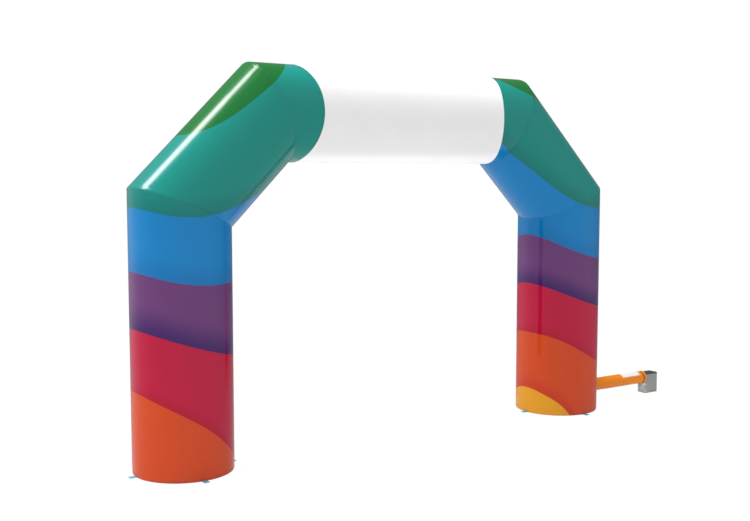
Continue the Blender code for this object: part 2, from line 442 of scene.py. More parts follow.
class Wiring:
    """Adds nodes to one node tree and joins their sockets."""

    def __init__(self, tree: bpy.types.NodeTree) -> None:
        """Starts on a tree of nodes."""
        self.tree = tree

    def node(self, kind: str, values: dict | None = None, **settings: object) -> Node:
        """Adds a node.

        Args:
            kind: The node's type, without its "ShaderNode" beginning.
            values: What its inputs are fed, by name or number.
            **settings: The node's own settings, by name.

        Returns:
            The new node.
        """
        made = self.tree.nodes.new("ShaderNode" + kind)
        for name, value in settings.items():
            setattr(made, name, value)
        self.fill(made, values or {})
        return made

    def fill(self, node: Node, values: dict) -> None:
        """Feeds a node's inputs, by name or number."""
        for name, value in values.items():
            self.feed(node.inputs[name], value)

    def feed(self, socket: Socket, value: object) -> None:
        """Feeds an input from another socket, or sets its value.

        Args:
            socket: The input.
            value: A socket to join it to, or the value it holds.
        """
        if isinstance(value, bpy.types.NodeSocket):
            self.tree.links.new(value, socket)
        else:
            socket.default_value = value.rgba if isinstance(value, Colour) else value

    def maths(self, operation: str, *values: object, clamp: bool = False) -> Socket:
        """Adds a Math node on values in order, held between 0 and 1 if it is clamped."""
        made = self.node("Math", dict(enumerate(values)), operation=operation, use_clamp=clamp)
        return made.outputs[0]

    def times(self, *values: object) -> Socket:
        """Multiplies values with each other."""
        return reduce(lambda product, value: self.maths("MULTIPLY", product, value), values)

    def crests(self, count: object) -> Socket:
        """Turns a rising count into round crests, one for each whole number."""
        return self.maths("ABSOLUTE", self.maths("SINE", self.times(count, math.pi)))

    def blend(self, factor: object, first: object, second: object, mode: str = "MIX") -> Socket:
        """Blends two colours. The factor says how much of the second one shows."""
        made = self.node("Mix", {0: factor, 6: first, 7: second}, data_type="RGBA", blend_type=mode)
        return made.outputs[2]

    def tint(self, colour: object, shade: object) -> Socket:
        """Multiplies a colour by a shade."""
        return self.blend(1.0, colour, shade, "MULTIPLY")

    def ramp(self, value: object, low: object, high: object, to_low: float = 0.0,
             to_high: float = 1.0, smooth: bool = True) -> Socket:
        """Maps the range from low to high to that from to_low to to_high, eased at its ends if smooth."""
        ends = {"Value": value, "From Min": low, "From Max": high, "To Min": to_low, "To Max": to_high}
        return self.node("MapRange", ends, interpolation_type="SMOOTHSTEP" if smooth else "LINEAR").outputs[0]

    def vector(self, operation: str, values: dict) -> Socket:
        """Adds a Vector Math node."""
        return self.node("VectorMath", values, operation=operation).outputs[0]

    def split(self, vector: Socket) -> list[Socket]:
        """Takes a vector apart into its X, Y and Z."""
        return list(self.node("SeparateXYZ", {0: vector}).outputs)

    def noise(self, position: Socket, scale: object, detail: float, distortion: float = 0.0) -> Socket:
        """Adds a noise between 0 and 1."""
        values = {"Vector": position, "Scale": scale, "Detail": detail, "Distortion": distortion}
        return self.node("TexNoise", values).outputs["Fac"]

    def bump(self, height: Socket, strength: float, distance: float) -> Socket:
        """Turns a height into a normal."""
        values = {"Height": height, "Strength": strength, "Distance": distance}
        return self.node("Bump", values).outputs[0]


VECTOR, COLOUR, NUMBER = "NodeSocketVector", "NodeSocketColor", "NodeSocketFloat"
KINDS = {Vector: VECTOR, Colour: COLOUR, float: NUMBER}


class Effect:
    """A shader node group, built once and placed in each material with its own values."""

    title: ClassVar[str] = ""
    takes: ClassVar[dict[str, object]] = {}
    gives: ClassVar[dict[str, str]] = {}

    def wire(self, w: Wiring, entry: Sockets, leave: Sockets) -> None:
        """Joins the group's nodes between its inputs and its outputs, which are given by name."""
        raise NotImplementedError

    @classmethod
    @cache
    def tree(cls) -> bpy.types.NodeTree:
        """Builds the group's tree, once.

        Returns:
            The tree.
        """
        tree = bpy.data.node_groups.new(cls.title, "ShaderNodeTree")
        for name, value in cls.takes.items():
            kind = KINDS[type(value)]
            made = tree.interface.new_socket(name=name, in_out="INPUT", socket_type=kind)
            made.default_value = value.rgba if kind == COLOUR else value
        for name, kind in cls.gives.items():
            tree.interface.new_socket(name=name, in_out="OUTPUT", socket_type=kind)
        entry = tree.nodes.new("NodeGroupInput")
        leave = tree.nodes.new("NodeGroupOutput")
        cls().wire(Wiring(tree), {s.name: s for s in entry.outputs}, {s.name: s for s in leave.inputs})
        return tree

    def place(self, w: Wiring, values: dict[str, object]) -> Sockets:
        """Places the group in a material with its inputs' values, and gives its outputs, by name."""
        made = w.node("Group", values, node_tree=self.tree())
        return {s.name: s for s in made.outputs}


class PrintedBand(Effect):
    """One wavy band of the print: everything above its lower edge takes its colour."""

    title = "Printed band"
    takes = {"Below": Colour.grey(0.5), "Position": Vector(), "Leg Axis": 0.0, "Level": 1.0, "Slope": 0.0,
             "Bow": 0.0, "Twist": 0.0, "Reach": 1.5, "Body": Colour.grey(0.5), "Foot": Colour.grey(0.5),
             "Fade": 0.2, "Edge": 0.004}
    gives = {"Colour": COLOUR}

    def wire(self, w: Wiring, entry: Sockets, leave: Sockets) -> None:
        """Joins the band's nodes: height of the wave, ink edge, and the fade above it."""
        along, _, height = w.split(entry["Position"])
        held = w.maths("MINIMUM", w.maths("SUBTRACT", along, entry["Leg Axis"]), entry["Reach"])
        out = w.maths("MAXIMUM", held, w.times(entry["Reach"], -1.0))
        wave = entry["Twist"]
        for part in ("Bow", "Slope", "Level"):
            wave = w.maths("MULTIPLY_ADD", out, wave, entry[part])
        over = w.maths("SUBTRACT", height, wave)
        inked = w.maths("ADD", w.maths("DIVIDE", over, entry["Edge"]), 0.5, clamp=True)
        own = w.blend(w.ramp(over, 0.0, entry["Fade"]), entry["Foot"], entry["Body"])
        w.feed(leave["Colour"], w.blend(inked, entry["Below"], own))


class BeamCentre(Effect):
    """The unprinted middle of the beam, between two bowed edges."""

    title = "Beam centre"
    takes = {"Position": Vector(), "Centre": 0.0, "Half Width": 1.0, "Slant": 0.5, "Round": 0.4,
             "Edge": 0.004}
    gives = {"Mask": NUMBER}

    def wire(self, w: Wiring, entry: Sockets, leave: Sockets) -> None:
        """Joins the mask's nodes: distance from the middle against the bowed edge."""
        along, back, _ = w.split(entry["Position"])
        out = w.maths("ABSOLUTE", w.maths("SUBTRACT", along, entry["Centre"]))
        turn = entry["Round"]
        soft = w.maths("SQRT", w.maths("MULTIPLY_ADD", back, back, w.times(turn, turn)))
        bowed = w.times(w.maths("SUBTRACT", soft, turn), entry["Slant"])
        rim = w.maths("SUBTRACT", entry["Half Width"], bowed)
        inside = w.maths("DIVIDE", w.maths("SUBTRACT", rim, out), entry["Edge"])
        w.feed(leave["Mask"], w.maths("ADD", inside, 0.5, clamp=True))


class Weave(Effect):
    """A plain weave of round threads, with threads a little uneven."""

    title = "Plain weave"
    takes = {"Map": Vector(), "Threads": 1200.0, "Uneven": 0.3}
    gives = {"Height": NUMBER, "Shade": NUMBER}

    def wire(self, w: Wiring, entry: Sockets, leave: Sockets) -> None:
        """Joins the weave's nodes: two sets of round threads that pass over each other in turn, with painted
        shade where they dip.
        """
        scaled = w.vector("SCALE", {0: entry["Map"], 3: entry["Threads"]})
        drift = w.node("TexNoise", {"Vector": entry["Map"], "Scale": 160.0, "Detail": 2.0})
        wander = w.vector("SUBTRACT", {0: drift.outputs["Color"], 1: (0.5, 0.5, 0.5)})
        loose = w.vector("SCALE", {0: wander, 3: entry["Uneven"]})
        moved = w.vector("ADD", {0: scaled, 1: loose})
        warp, weft, _ = w.split(moved)
        over = w.node("TexChecker", {"Vector": moved, "Scale": 1.0, "Color1": Colour.grey(1.0),
                                     "Color2": Colour.grey(0.0)})
        top = w.node("Mix", {0: over.outputs["Fac"], 2: w.crests(warp), 3: w.crests(weft)},
                     data_type="FLOAT").outputs[0]
        w.feed(leave["Height"], top)
        # Painted shade: the weave is painted darker where the threads dip under each other.
        w.feed(leave["Shade"], w.ramp(top, 0.0, 1.0, 0.9, 1.0))


class Mottle(Effect):
    """Slow and fine unevenness of colour, as ink, dye or pigment lays down."""

    title = "Mottle"
    takes = {"Position": Vector(), "Scale": 4.0, "Amount": 0.03}
    gives = {"Shade": NUMBER, "Blotch": NUMBER}

    def wire(self, w: Wiring, entry: Sockets, leave: Sockets) -> None:
        """Joins the mottle's nodes: two noises, spread about one."""
        slow = w.noise(entry["Position"], entry["Scale"], detail=4.0)
        fine = w.noise(entry["Position"], w.times(entry["Scale"], 23.0), detail=2.0)
        centred = w.maths("SUBTRACT", w.maths("ADD", slow, fine), 1.0)
        w.feed(leave["Shade"], w.maths("MULTIPLY_ADD", centred, entry["Amount"], 1.0))
        w.feed(leave["Blotch"], slow)


class GroundDust(Effect):
    """Fine dust that settles low on the piece, thinning out with height."""

    title = "Ground dust"
    takes = {"Position": Vector(), "Reach": 0.25, "Amount": 0.1}
    gives = {"Mask": NUMBER}

    def wire(self, w: Wiring, entry: Sockets, leave: Sockets) -> None:
        """Joins the dust's nodes: a fade with height, broken up by specks and smears."""
        low = w.ramp(w.split(entry["Position"])[2], entry["Reach"], 0.0)
        smears = w.ramp(w.noise(entry["Position"], 9.0, detail=5.0), 0.42, 0.7)
        specks = w.ramp(w.noise(entry["Position"], 420.0, detail=1.0), 0.35, 0.62, 0.4, 1.0)
        w.feed(leave["Mask"], w.times(low, w.times(smears, specks), entry["Amount"]))


class WebbingRibs(Effect):
    """Narrow-woven webbing: ribs along its length with a herringbone of fine picks."""

    title = "Webbing ribs"
    takes = {"Map": Vector(), "Ribs": 500.0, "Picks": 900.0}
    gives = {"Height": NUMBER, "Shade": NUMBER}

    def wire(self, w: Wiring, entry: Sockets, leave: Sockets) -> None:
        """Joins the webbing's nodes: round ribs crossed by slanted picks, with painted shade in the valleys
        between ribs.
        """
        across, along, _ = w.split(entry["Map"])
        rib = w.times(across, entry["Ribs"])
        slant = w.maths("PINGPONG", rib, 1.0)
        bead = w.crests(w.maths("MULTIPLY_ADD", along, entry["Picks"], slant))
        height = w.times(w.crests(rib), w.maths("MULTIPLY_ADD", bead, 0.45, 0.55))
        w.feed(leave["Height"], height)
        # Painted shade: the valleys between ribs are painted darker.
        w.feed(leave["Shade"], w.ramp(height, 0.0, 0.8, 0.62, 1.0))


class MouldGrain(Effect):
    """The fine pebbled grain of a plastic mould, with faint flow marks and rubbed edges."""

    title = "Mould grain"
    takes = {"Position": Vector(), "Scale": 1500.0}
    gives = {"Height": NUMBER, "Rubbed": NUMBER, "Flow": NUMBER}

    def wire(self, w: Wiring, entry: Sockets, leave: Sockets) -> None:
        """Joins the grain's nodes: pebbles, slow flow marks, and a mask of worn corners."""
        pebble = w.node("TexVoronoi", {"Vector": entry["Position"], "Scale": entry["Scale"]},
                        feature="SMOOTH_F1")
        w.feed(leave["Height"], pebble.outputs["Distance"])
        flow = w.noise(entry["Position"], 24.0, detail=6.0, distortion=0.4)
        w.feed(leave["Flow"], flow)
        corner = w.ramp(w.node("NewGeometry").outputs["Pointiness"], 0.53, 0.62)
        w.feed(leave["Rubbed"], w.times(corner, w.ramp(flow, 0.4, 0.62)))


@dataclass(frozen=True)
class Finish:
    """What every finish shares: a name, and a material made once and kept."""

    name: str
    dust_colour: ClassVar[Colour] = Colour(0.42, 0.38, 0.33)

    @cache
    def material(self) -> bpy.types.Material:
        """Makes the finish's material, once.

        Returns:
            The material.
        """
        material = bpy.data.materials.new(self.name)
        material.use_nodes = True
        material.node_tree.nodes.clear()
        w = Wiring(material.node_tree)
        shader = w.node("BsdfPrincipled")
        w.node("OutputMaterial", {"Surface": shader.outputs[0]})
        self.wire(w, shader)
        return material

    def wire(self, w: Wiring, shader: Node) -> None:
        """Joins the finish's nodes to its Principled shader."""
        raise NotImplementedError

    @staticmethod
    def places(w: Wiring) -> tuple[Socket, Socket]:
        """Adds the place on the whole arch and the place on the piece's own cloth, both in metres."""
        made = w.node("TexCoord")
        return made.outputs["Object"], made.outputs["UV"]

    @staticmethod
    def mottle(w: Wiring, position: Socket, scale: float, amount: float) -> Sockets:
        """Adds this finish's own mottle."""
        return Mottle().place(w, {"Position": position, "Scale": scale, "Amount": amount})

    @staticmethod
    def dust(w: Wiring, position: Socket, reach: float, amount: float) -> Socket:
        """Adds the mask of this finish's own ground dust."""
        return GroundDust().place(w, {"Position": position, "Reach": reach, "Amount": amount})["Mask"]

    @staticmethod
    def dusted(w: Wiring, mask: Socket, colour: Socket) -> Socket:
        """Lays ground dust over a colour."""
        return w.blend(mask, colour, Finish.dust_colour)


@dataclass(frozen=True)
class BandRow:
    """One band of the print: four marks that its lower edge runs through, and its inks.

    The marks are heights at even steps from left to right. The first one is start metres beside the leg's
    axis. One smooth curve runs through them, and it goes on level beyond the reach.
    """

    marks: tuple[float, float, float, float]
    body: Colour
    foot: Colour
    fade: float
    start: float = -0.45
    step: float = 0.25
    reach: float = 0.5

    def curve(self) -> list[float]:
        """Works out the curve's height at the leg's axis, and its slope, bow and twist from there."""
        places = self.start + self.step * np.arange(len(self.marks))
        return np.linalg.solve(np.vander(places, increasing=True), self.marks).tolist()


ORANGE = Colour(0.546, 0.0555, 0.009)
ORANGE_FOOT = Colour(0.500, 0.034, 0.010)
CRIMSON = Colour(0.420, 0.005, 0.039)
CRIMSON_FOOT = Colour(0.370, 0.003, 0.024)
PURPLE = Colour(0.124, 0.0385, 0.149)
NAVY = Colour(0.046, 0.012, 0.108)
BLUE = Colour(0.003, 0.184, 0.460)
BLUE_FOOT = Colour(0.003, 0.150, 0.400)
TEAL = Colour(0.003, 0.216, 0.182)
TEAL_FOOT = Colour(0.003, 0.166, 0.152)
GREEN = Colour(0.003, 0.126, 0.0205)
YELLOW = Colour(0.680, 0.295, 0.010)
WHITE = Colour.grey(0.825)
# Painted sheen: the lighter white painted on the beam's middle where it is seen aslant.
WHITE_PAINTED_SHEEN = Colour.grey(0.965)

LEFT_BANDS = (
    BandRow((0.80, 0.65, 0.49, 0.27), CRIMSON, CRIMSON_FOOT, 0.14),
    BandRow((1.42, 1.33, 1.25, 1.18), PURPLE, NAVY, 0.30),
    BandRow((1.97, 1.90, 1.87, 1.87), BLUE, BLUE_FOOT, 0.26),
    BandRow((2.58, 2.52, 2.66, 2.92), TEAL, TEAL_FOOT, 0.22, step=0.50, reach=1.05),
    BandRow((3.30, 3.47, 3.74, 4.02), GREEN, GREEN, 0.10, start=0.05, step=0.35, reach=1.5),
)
RIGHT_BANDS = (
    BandRow((0.31, 0.22, 0.13, 0.00), ORANGE, ORANGE_FOOT, 0.22, start=-0.50, step=0.10),
    BandRow((0.98, 0.86, 0.72, 0.62), CRIMSON, CRIMSON_FOOT, 0.14),
    BandRow((1.57, 1.45, 1.36, 1.30), PURPLE, NAVY, 0.26),
    BandRow((2.15, 2.01, 1.93, 1.89), BLUE, BLUE_FOOT, 0.26),
    BandRow((3.22, 2.89, 2.60, 2.52), TEAL, TEAL_FOOT, 0.22, start=-1.20, step=0.50, reach=1.5),
    BandRow((3.99, 3.78, 3.68, 3.62), GREEN, GREEN, 0.10, start=-1.15, step=0.40, reach=1.5),
)


@dataclass(frozen=True)
class PrintedCloth(Finish):
    """Glossy coated cloth with the wavy print of one side of the arch."""

    side: Side
    ground: Colour
    bands: tuple[BandRow, ...]
    gloss: float = 1.0
    bare_gloss: float = 0.15
    dust_dulls: float = 0.8
    roughness: float = 0.56
    thread_shine: float = 0.08
    thread_shade: float = 0.985
    # View angles over which the painted sheen comes in on the white middle.
    painted_sheen_from: float = 0.42
    painted_sheen_to: float = 0.66
    white_half_width: float = 1.297
    white_slant: float = 0.50
    white_round: float = 0.40

    def print_colour(self, w: Wiring, position: Socket) -> tuple[Socket, Socket]:
        """Adds the bands and the beam's white middle.

        Args:
            w: The material's wiring.
            position: Place on the arch.

        Returns:
            The print's colour, and the mask of the unprinted middle.
        """
        colour: object = self.ground
        for row in self.bands:
            level, slope, bow, twist = row.curve()
            colour = PrintedBand().place(w, {
                "Below": colour, "Position": position, "Leg Axis": self.side.leg_axis, "Level": level,
                "Slope": slope, "Bow": bow, "Twist": twist, "Body": row.body, "Foot": row.foot,
                "Fade": row.fade, "Reach": row.reach,
            })["Colour"]
        white = BeamCentre().place(w, {
            "Position": position, "Centre": ARCH_CENTRE_X, "Half Width": self.white_half_width,
            "Slant": self.white_slant, "Round": self.white_round,
        })["Mask"]
        return w.blend(white, colour, WHITE), white

    def wire(self, w: Wiring, shader: Node) -> None:
        """Joins print, weave, mottle, dust and a painted sheen on the white middle to the shader."""
        position, cloth = self.places(w)
        weave = Weave().place(w, {"Map": cloth, "Threads": 1300.0, "Uneven": 0.35})
        mottle = self.mottle(w, position, scale=3.0, amount=0.05)
        dust = self.dust(w, position, reach=0.10, amount=0.05)
        ink, white = self.print_colour(w, position)
        # Painted sheen: the white middle is painted lighter where it is seen aslant, in place of the floor's
        # light reflected at grazing angles.
        facing = w.node("LayerWeight", {"Blend": 0.5}).outputs["Facing"]
        painted_sheen = w.ramp(facing, self.painted_sheen_from, self.painted_sheen_to)
        ink = w.blend(w.times(white, painted_sheen), ink, WHITE_PAINTED_SHEEN)
        # Random mottle, times the weave's painted shade between threads.
        shade = w.times(mottle["Shade"], w.ramp(weave["Shade"], 0.9, 1.0, self.thread_shade, 1.0))
        gloss = w.maths("MULTIPLY_ADD", white, self.bare_gloss - self.gloss, self.gloss)
        w.fill(shader, {
            "Base Color": self.dusted(w, dust, w.tint(ink, shade)),
            "Roughness": w.maths("MULTIPLY_ADD", weave["Height"], -self.thread_shine, self.roughness),
            "Coat Weight": w.maths("SUBTRACT", gloss, w.times(dust, self.dust_dulls)),
            "Normal": w.bump(weave["Height"], strength=0.25, distance=0.0002),
            "Specular IOR Level": 0.0, "Coat Roughness": 0.07, "Coat IOR": 1.36,
        })


@dataclass(frozen=True)
class SewingThread(Finish):
    """Bonded thread dyed to the print of one side, twisted and a little shiny."""

    cloth: PrintedCloth
    bleach: float = 0.12

    def wire(self, w: Wiring, shader: Node) -> None:
        """Joins the print's colour, lightened as thread is, and the twist to the shader."""
        position, _ = self.places(w)
        twist = w.noise(position, 2600.0, detail=1.0)
        colour = w.blend(self.bleach, self.cloth.print_colour(w, position)[0], Colour.grey(0.6))
        w.fill(shader, {
            "Base Color": w.tint(colour, w.ramp(twist, 0.3, 0.7, 0.75, 1.05)),
            "Roughness": w.ramp(twist, 0.3, 0.7, 0.4, 0.6),
        })


@dataclass(frozen=True)
class WovenCloth(Finish):
    """Light cloth in one colour, with a plain weave and a stronger thread every few millimetres."""

    colour: Colour
    threads: float = 1500.0
    ripstop: float = 160.0
    grid_shade: float = 0.9
    grid_height: float = 0.8
    roughness: float = 0.5
    coat: float = 0.3
    dust_amount: float = 0.10

    def wire(self, w: Wiring, shader: Node) -> None:
        """Joins colour, weave, grid threads and dust to the shader."""
        position, cloth = self.places(w)
        weave = Weave().place(w, {"Map": cloth, "Threads": self.threads, "Uneven": 0.3})
        mottle = self.mottle(w, position, scale=14.0, amount=0.08)
        dust = self.dust(w, position, reach=0.2, amount=self.dust_amount)
        lines = [w.crests(w.times(way, self.ripstop)) for way in w.split(cloth)[:2]]
        grid = w.ramp(w.maths("MINIMUM", *lines), 0.16, 0.04)
        # The weave's painted shade between threads, with the darker grid threads.
        woven = w.times(weave["Shade"], w.maths("MULTIPLY_ADD", grid, self.grid_shade - 1.0, 1.0))
        height = w.maths("MULTIPLY_ADD", grid, self.grid_height, weave["Height"])
        w.fill(shader, {
            "Base Color": self.dusted(w, dust, w.tint(self.colour, w.times(mottle["Shade"], woven))),
            "Roughness": w.maths("MULTIPLY_ADD", weave["Height"], -0.1, self.roughness + 0.05),
            "Normal": w.bump(height, strength=0.4, distance=0.0002),
            "Coat Weight": self.coat, "Coat Roughness": 0.25, "Specular IOR Level": 0.25,
        })


@dataclass(frozen=True)
class Webbing(Finish):
    """Narrow-woven strap in one colour, dull, with ribs along its length."""

    colour: Colour
    ribs: float = 480.0
    picks: float = 900.0

    def wire(self, w: Wiring, shader: Node) -> None:
        """Joins colour, ribs and dust to the shader."""
        position, cloth = self.places(w)
        ribs = WebbingRibs().place(w, {"Map": cloth, "Ribs": self.ribs, "Picks": self.picks})
        mottle = self.mottle(w, position, scale=30.0, amount=0.12)
        dust = self.dust(w, position, reach=0.06, amount=0.25)
        w.fill(shader, {
            # The ribs' painted shade, times random mottle.
            "Base Color": self.dusted(w, dust, w.tint(self.colour, w.times(ribs["Shade"], mottle["Shade"]))),
            "Roughness": w.ramp(ribs["Height"], 0.0, 1.0, 0.85, 0.6),
            "Normal": w.bump(ribs["Height"], strength=0.7, distance=0.0004),
            "Specular IOR Level": 0.3,
        })


@dataclass(frozen=True)
class MouldedPlastic(Finish):
    """Moulded plastic in one colour, with a fine grain, flow marks and rubbed corners."""

    colour: Colour
    rubbed: Colour
    roughness: float = 0.55
    grain: float = 1500.0
    wear: float = 0.6

    def wire(self, w: Wiring, shader: Node) -> None:
        """Joins colour, grain, wear and dust to the shader."""
        position, _ = self.places(w)
        grain = MouldGrain().place(w, {"Position": position, "Scale": self.grain})
        mottle = self.mottle(w, position, scale=18.0, amount=0.06)
        dust = self.dust(w, position, reach=0.12, amount=0.12)
        colour = w.tint(self.colour, mottle["Shade"])
        colour = w.blend(w.times(grain["Rubbed"], self.wear), colour, self.rubbed)
        w.fill(shader, {
            "Base Color": self.dusted(w, dust, colour),
            "Roughness": w.ramp(grain["Flow"], 0.3, 0.7, self.roughness - 0.06, self.roughness + 0.08),
            "Normal": w.bump(grain["Height"], strength=0.25, distance=0.0003),
            "Specular IOR Level": 0.3,
        })


@dataclass(frozen=True)
class BrushedSteel(Finish):
    """Plain steel of screws and pins, brushed and slightly dulled."""

    colour: Colour = Colour(0.55, 0.55, 0.56)

    def wire(self, w: Wiring, shader: Node) -> None:
        """Joins colour and brushing to the shader."""
        mottle = self.mottle(w, self.places(w)[0], scale=300.0, amount=0.2)
        w.fill(shader, {
            "Base Color": w.tint(self.colour, mottle["Shade"]),
            "Roughness": w.ramp(mottle["Blotch"], 0.3, 0.7, 0.28, 0.45),
            "Metallic": 1.0,
        })


CLOTHS = {
    Side.LEFT: PrintedCloth("printed_cloth_left", Side.LEFT, ORANGE, LEFT_BANDS, white_half_width=1.260,
                            white_slant=0.60, white_round=0.60),
    Side.RIGHT: PrintedCloth("printed_cloth_right", Side.RIGHT, YELLOW, RIGHT_BANDS),
}
THREADS = {side: SewingThread(f"thread_{side.word}", cloth) for side, cloth in CLOTHS.items()}
FLOOR_CLOTH = WovenCloth("floor_panel_cloth", Colour(0.03, 0.03, 0.035), threads=900.0, coat=0.1)
TAB_WEBBING = Webbing("blue_webbing", Colour(0.120, 0.480, 0.740))
TAB_THREAD = WovenCloth("pale_blue_thread", Colour(0.45, 0.62, 0.74), ripstop=0.0, coat=0.0)
SLEEVE_CLOTH = WovenCloth("orange_sleeve_cloth", Colour(0.765, 0.222, 0.001), coat=0.12, roughness=0.45,
                          dust_amount=0.04)
SLEEVE_THREAD = WovenCloth("orange_thread", Colour(0.75, 0.30, 0.05), ripstop=0.0, coat=0.0)
# The tie's dark tone copies the shaded valley at the cuff's neck: the strap's own colour plus painted shade.
TIE_WEBBING = Webbing("tie_webbing_with_painted_shade", Colour(0.10, 0.075, 0.055), ribs=500.0)
PATCH_CLOTH = WovenCloth("white_patch_cloth", Colour(0.84, 0.84, 0.83), ripstop=0.0, coat=0.2,
                         dust_amount=0.03)
WHITE_THREAD = WovenCloth("white_thread", Colour(0.72, 0.72, 0.71), ripstop=0.0, coat=0.0)
HOUSING_GREY = MouldedPlastic("grey_housing_plastic", Colour(0.262, 0.268, 0.265), Colour.grey(0.35))
LID_BLACK = MouldedPlastic("black_lid_plastic", Colour(0.060, 0.060, 0.062), Colour.grey(0.08), 0.7)
STEEL = BrushedSteel("screw_steel")


def unit_rows(values: np.ndarray) -> np.ndarray:
    """Brings each row of an array to length one."""
    return values / np.maximum(np.linalg.norm(values, axis=1), 1e-12)[:, None]


def run_lengths(points: np.ndarray) -> np.ndarray:
    """Measures how far along a track each of its points lies."""
    return np.concatenate([[0.0], np.cumsum(np.linalg.norm(np.diff(points, axis=0), axis=1))])


def turned_from(angle: np.ndarray, centre: float) -> np.ndarray:
    """Measures angles from a centre, from half a turn back to half a turn on."""
    return (angle - centre + math.pi) % (2 * math.pi) - math.pi


def bell(value: np.ndarray, width: float) -> np.ndarray:
    """Gives a swell that is one at nought and dies away over a width."""
    return np.exp(-((value / width) ** 2))


@dataclass
class StitchRow:
    """A row of stitches to be sewn: where it runs and which way the cloth faces there."""

    points: np.ndarray
    normals: np.ndarray
    closed: bool = True


@dataclass
class Stitching:
    """Rows of stitches sewn as one piece, each stitch a short spindle pulled into the cloth."""

    name: str
    slot: Slot
    finishes: tuple[Finish, ...]
    pitch: float = 0.0070
    length: float = 0.0052
    thickness: float = 0.0011
    lift: float = 0.0001
    rod_share: float = 0.27
    tip_share: float = 0.23
    tip_sink: float = 0.45
    probe: float = 1e-3
    rows: list[StitchRow] = field(default_factory=list)

    def spindle(self) -> tuple[np.ndarray, list[tuple[int, ...]]]:
        """Models one stitch: a four-sided rod whose ends are drawn out and merged to points.

        Returns:
            Its points, with its length along X and the cloth's outside along Z, and its faces.
        """
        half = RIGHTWARD * self.length * self.rod_share
        rod = Bench.drum(-half, half, self.thickness / 2, 4)
        for sign in (-1, 1):
            with Bench.editing(rod):
                Bench.pick_facing(rod, RIGHTWARD * sign)
                reach, sink = self.length * self.tip_share, self.thickness * self.tip_sink
                Bench.pull(RIGHTWARD * sign * reach - UP * sink)
                bpy.ops.mesh.merge(type="CENTER")
        points = Bench.points(rod)
        faces = [tuple(face.vertices) for face in rod.data.polygons]
        bpy.data.objects.remove(rod)
        return points, faces

    def spaced(self, row: StitchRow) -> tuple[np.ndarray, np.ndarray, np.ndarray]:
        """Spaces stitches evenly along a row.

        Args:
            row: The row.

        Returns:
            Each stitch's middle, its direction and the cloth's outside there.
        """
        loop = slice(0, 1 if row.closed else 0)
        points, normals = (np.vstack([part, part[loop]]) for part in (row.points, row.normals))
        reach = run_lengths(points)
        count = max(2, int(reach[-1] / self.pitch))
        at = (np.arange(count) + 0.5) * reach[-1] / count

        def read(values: np.ndarray, where: np.ndarray) -> np.ndarray:
            """Reads the row's values at lengths along it."""
            return np.column_stack([np.interp(where, reach, values[:, k]) for k in range(3)])

        along = unit_rows(read(points, at + self.probe) - read(points, at - self.probe))
        out = read(normals, at)
        out = unit_rows(out - np.sum(out * along, axis=1)[:, None] * along)
        return read(points, at), along, out

    def build(self) -> Piece:
        """Sews all rows and places the joined piece.

        Returns:
            The stitching.
        """
        shape, faces = self.spindle()
        middles, alongs, outs = (np.vstack(part) for part in zip(*(self.spaced(row) for row in self.rows)))
        points = (middles + outs * self.lift)[:, None, :]
        for k, way in enumerate((alongs, np.cross(outs, alongs), outs)):
            points = points + shape[None, :, k, None] * way[:, None, :]
        step = len(shape)
        all_faces = [tuple(i + k * step for i in face) for k in range(len(middles)) for face in faces]
        piece = Bench.mesh_piece(self.name, points.reshape(-1, 3), all_faces)
        Bench.take(piece)
        bpy.ops.object.shade_smooth()
        return Bench.place(piece, self.name, self.slot, *self.finishes)


class SeamStep(NamedTuple):
    """One ring or line of a sewn seam: how far it is from the seam and how far it is drawn in."""

    distance: float
    draw_in: float


def seam(*steps: tuple[float, float]) -> tuple[SeamStep, ...]:
    """Lays out a seam from pairs of distance and draw-in."""
    return tuple(SeamStep(*step) for step in steps)


MITRE_SEAM = seam(
    (0.0, 0.0017), (0.0022, 0.0009), (0.0050, 0.0005), (0.0080, 0.0009), (0.0110, 0.0002), (0.0150, 0.0002),
    (0.0185, 0.0007), (0.0220, 0.0001), (0.0255, 0.0001), (0.0268, 0.0006), (0.0360, 0.0004),
    (0.0520, 0.0002), (0.0780, 0.0001), (0.1150, 0.0),
)
MITRE_ROWS = (0.0080, 0.0185)
FOOT_SEAM = seam(
    (0.0, 0.0040), (0.0030, 0.0028), (0.0080, 0.0022), (0.0130, 0.0016), (0.0180, 0.0019), (0.0240, 0.0012),
    (0.0280, 0.0010), (0.0295, 0.0018), (0.0400, 0.0010), (0.0600, 0.0003), (0.0900, 0.0),
)
FOOT_ROWS = (0.0080, 0.0180)
BACK_SEAM = seam(
    (-0.0200, 0.0), (-0.0150, 0.0002), (-0.0138, -0.0006), (-0.0100, 0.0003), (-0.0060, -0.0006),
    (-0.0020, 0.0003), (0.0005, -0.0002), (0.0018, 0.0012), (0.0060, 0.0004), (0.0120, 0.0),
)
BACK_ROWS = (-0.0100, -0.0020)
SAME_PLACE = 2e-5


@dataclass
class TubeEnd:
    """One end of a tube: where its axis meets the seam, how the seam lies, and how it is sewn."""

    point: Vector
    outward: Vector
    seam: tuple[SeamStep, ...]
    rows: tuple[float, ...]
    seed: int
    pucker_depth: float
    puckers: int = 64

    def inside(self, distance: float) -> Vector:
        """Gives a point of the plane at a distance inside this end."""
        return self.point - self.outward * (distance + PIECE_GAP / 2)

    def centre(self, axis: Vector, distance: float) -> Vector:
        """Gives the middle of the ring at a distance inside this end, on the tube's axis."""
        return self.point - axis * (distance / axis.dot(self.outward))

    def depths(self, points: np.ndarray) -> np.ndarray:
        """Measures how far inside this end's seam points lie."""
        return -(points - np.array(self.point)) @ np.array(self.outward)

    def ring(self, points: np.ndarray, distance: float) -> np.ndarray:
        """Finds the numbers of the points on the ring at a distance inside this end."""
        return np.flatnonzero(np.abs(self.depths(points) - PIECE_GAP / 2 - distance) < SAME_PLACE)


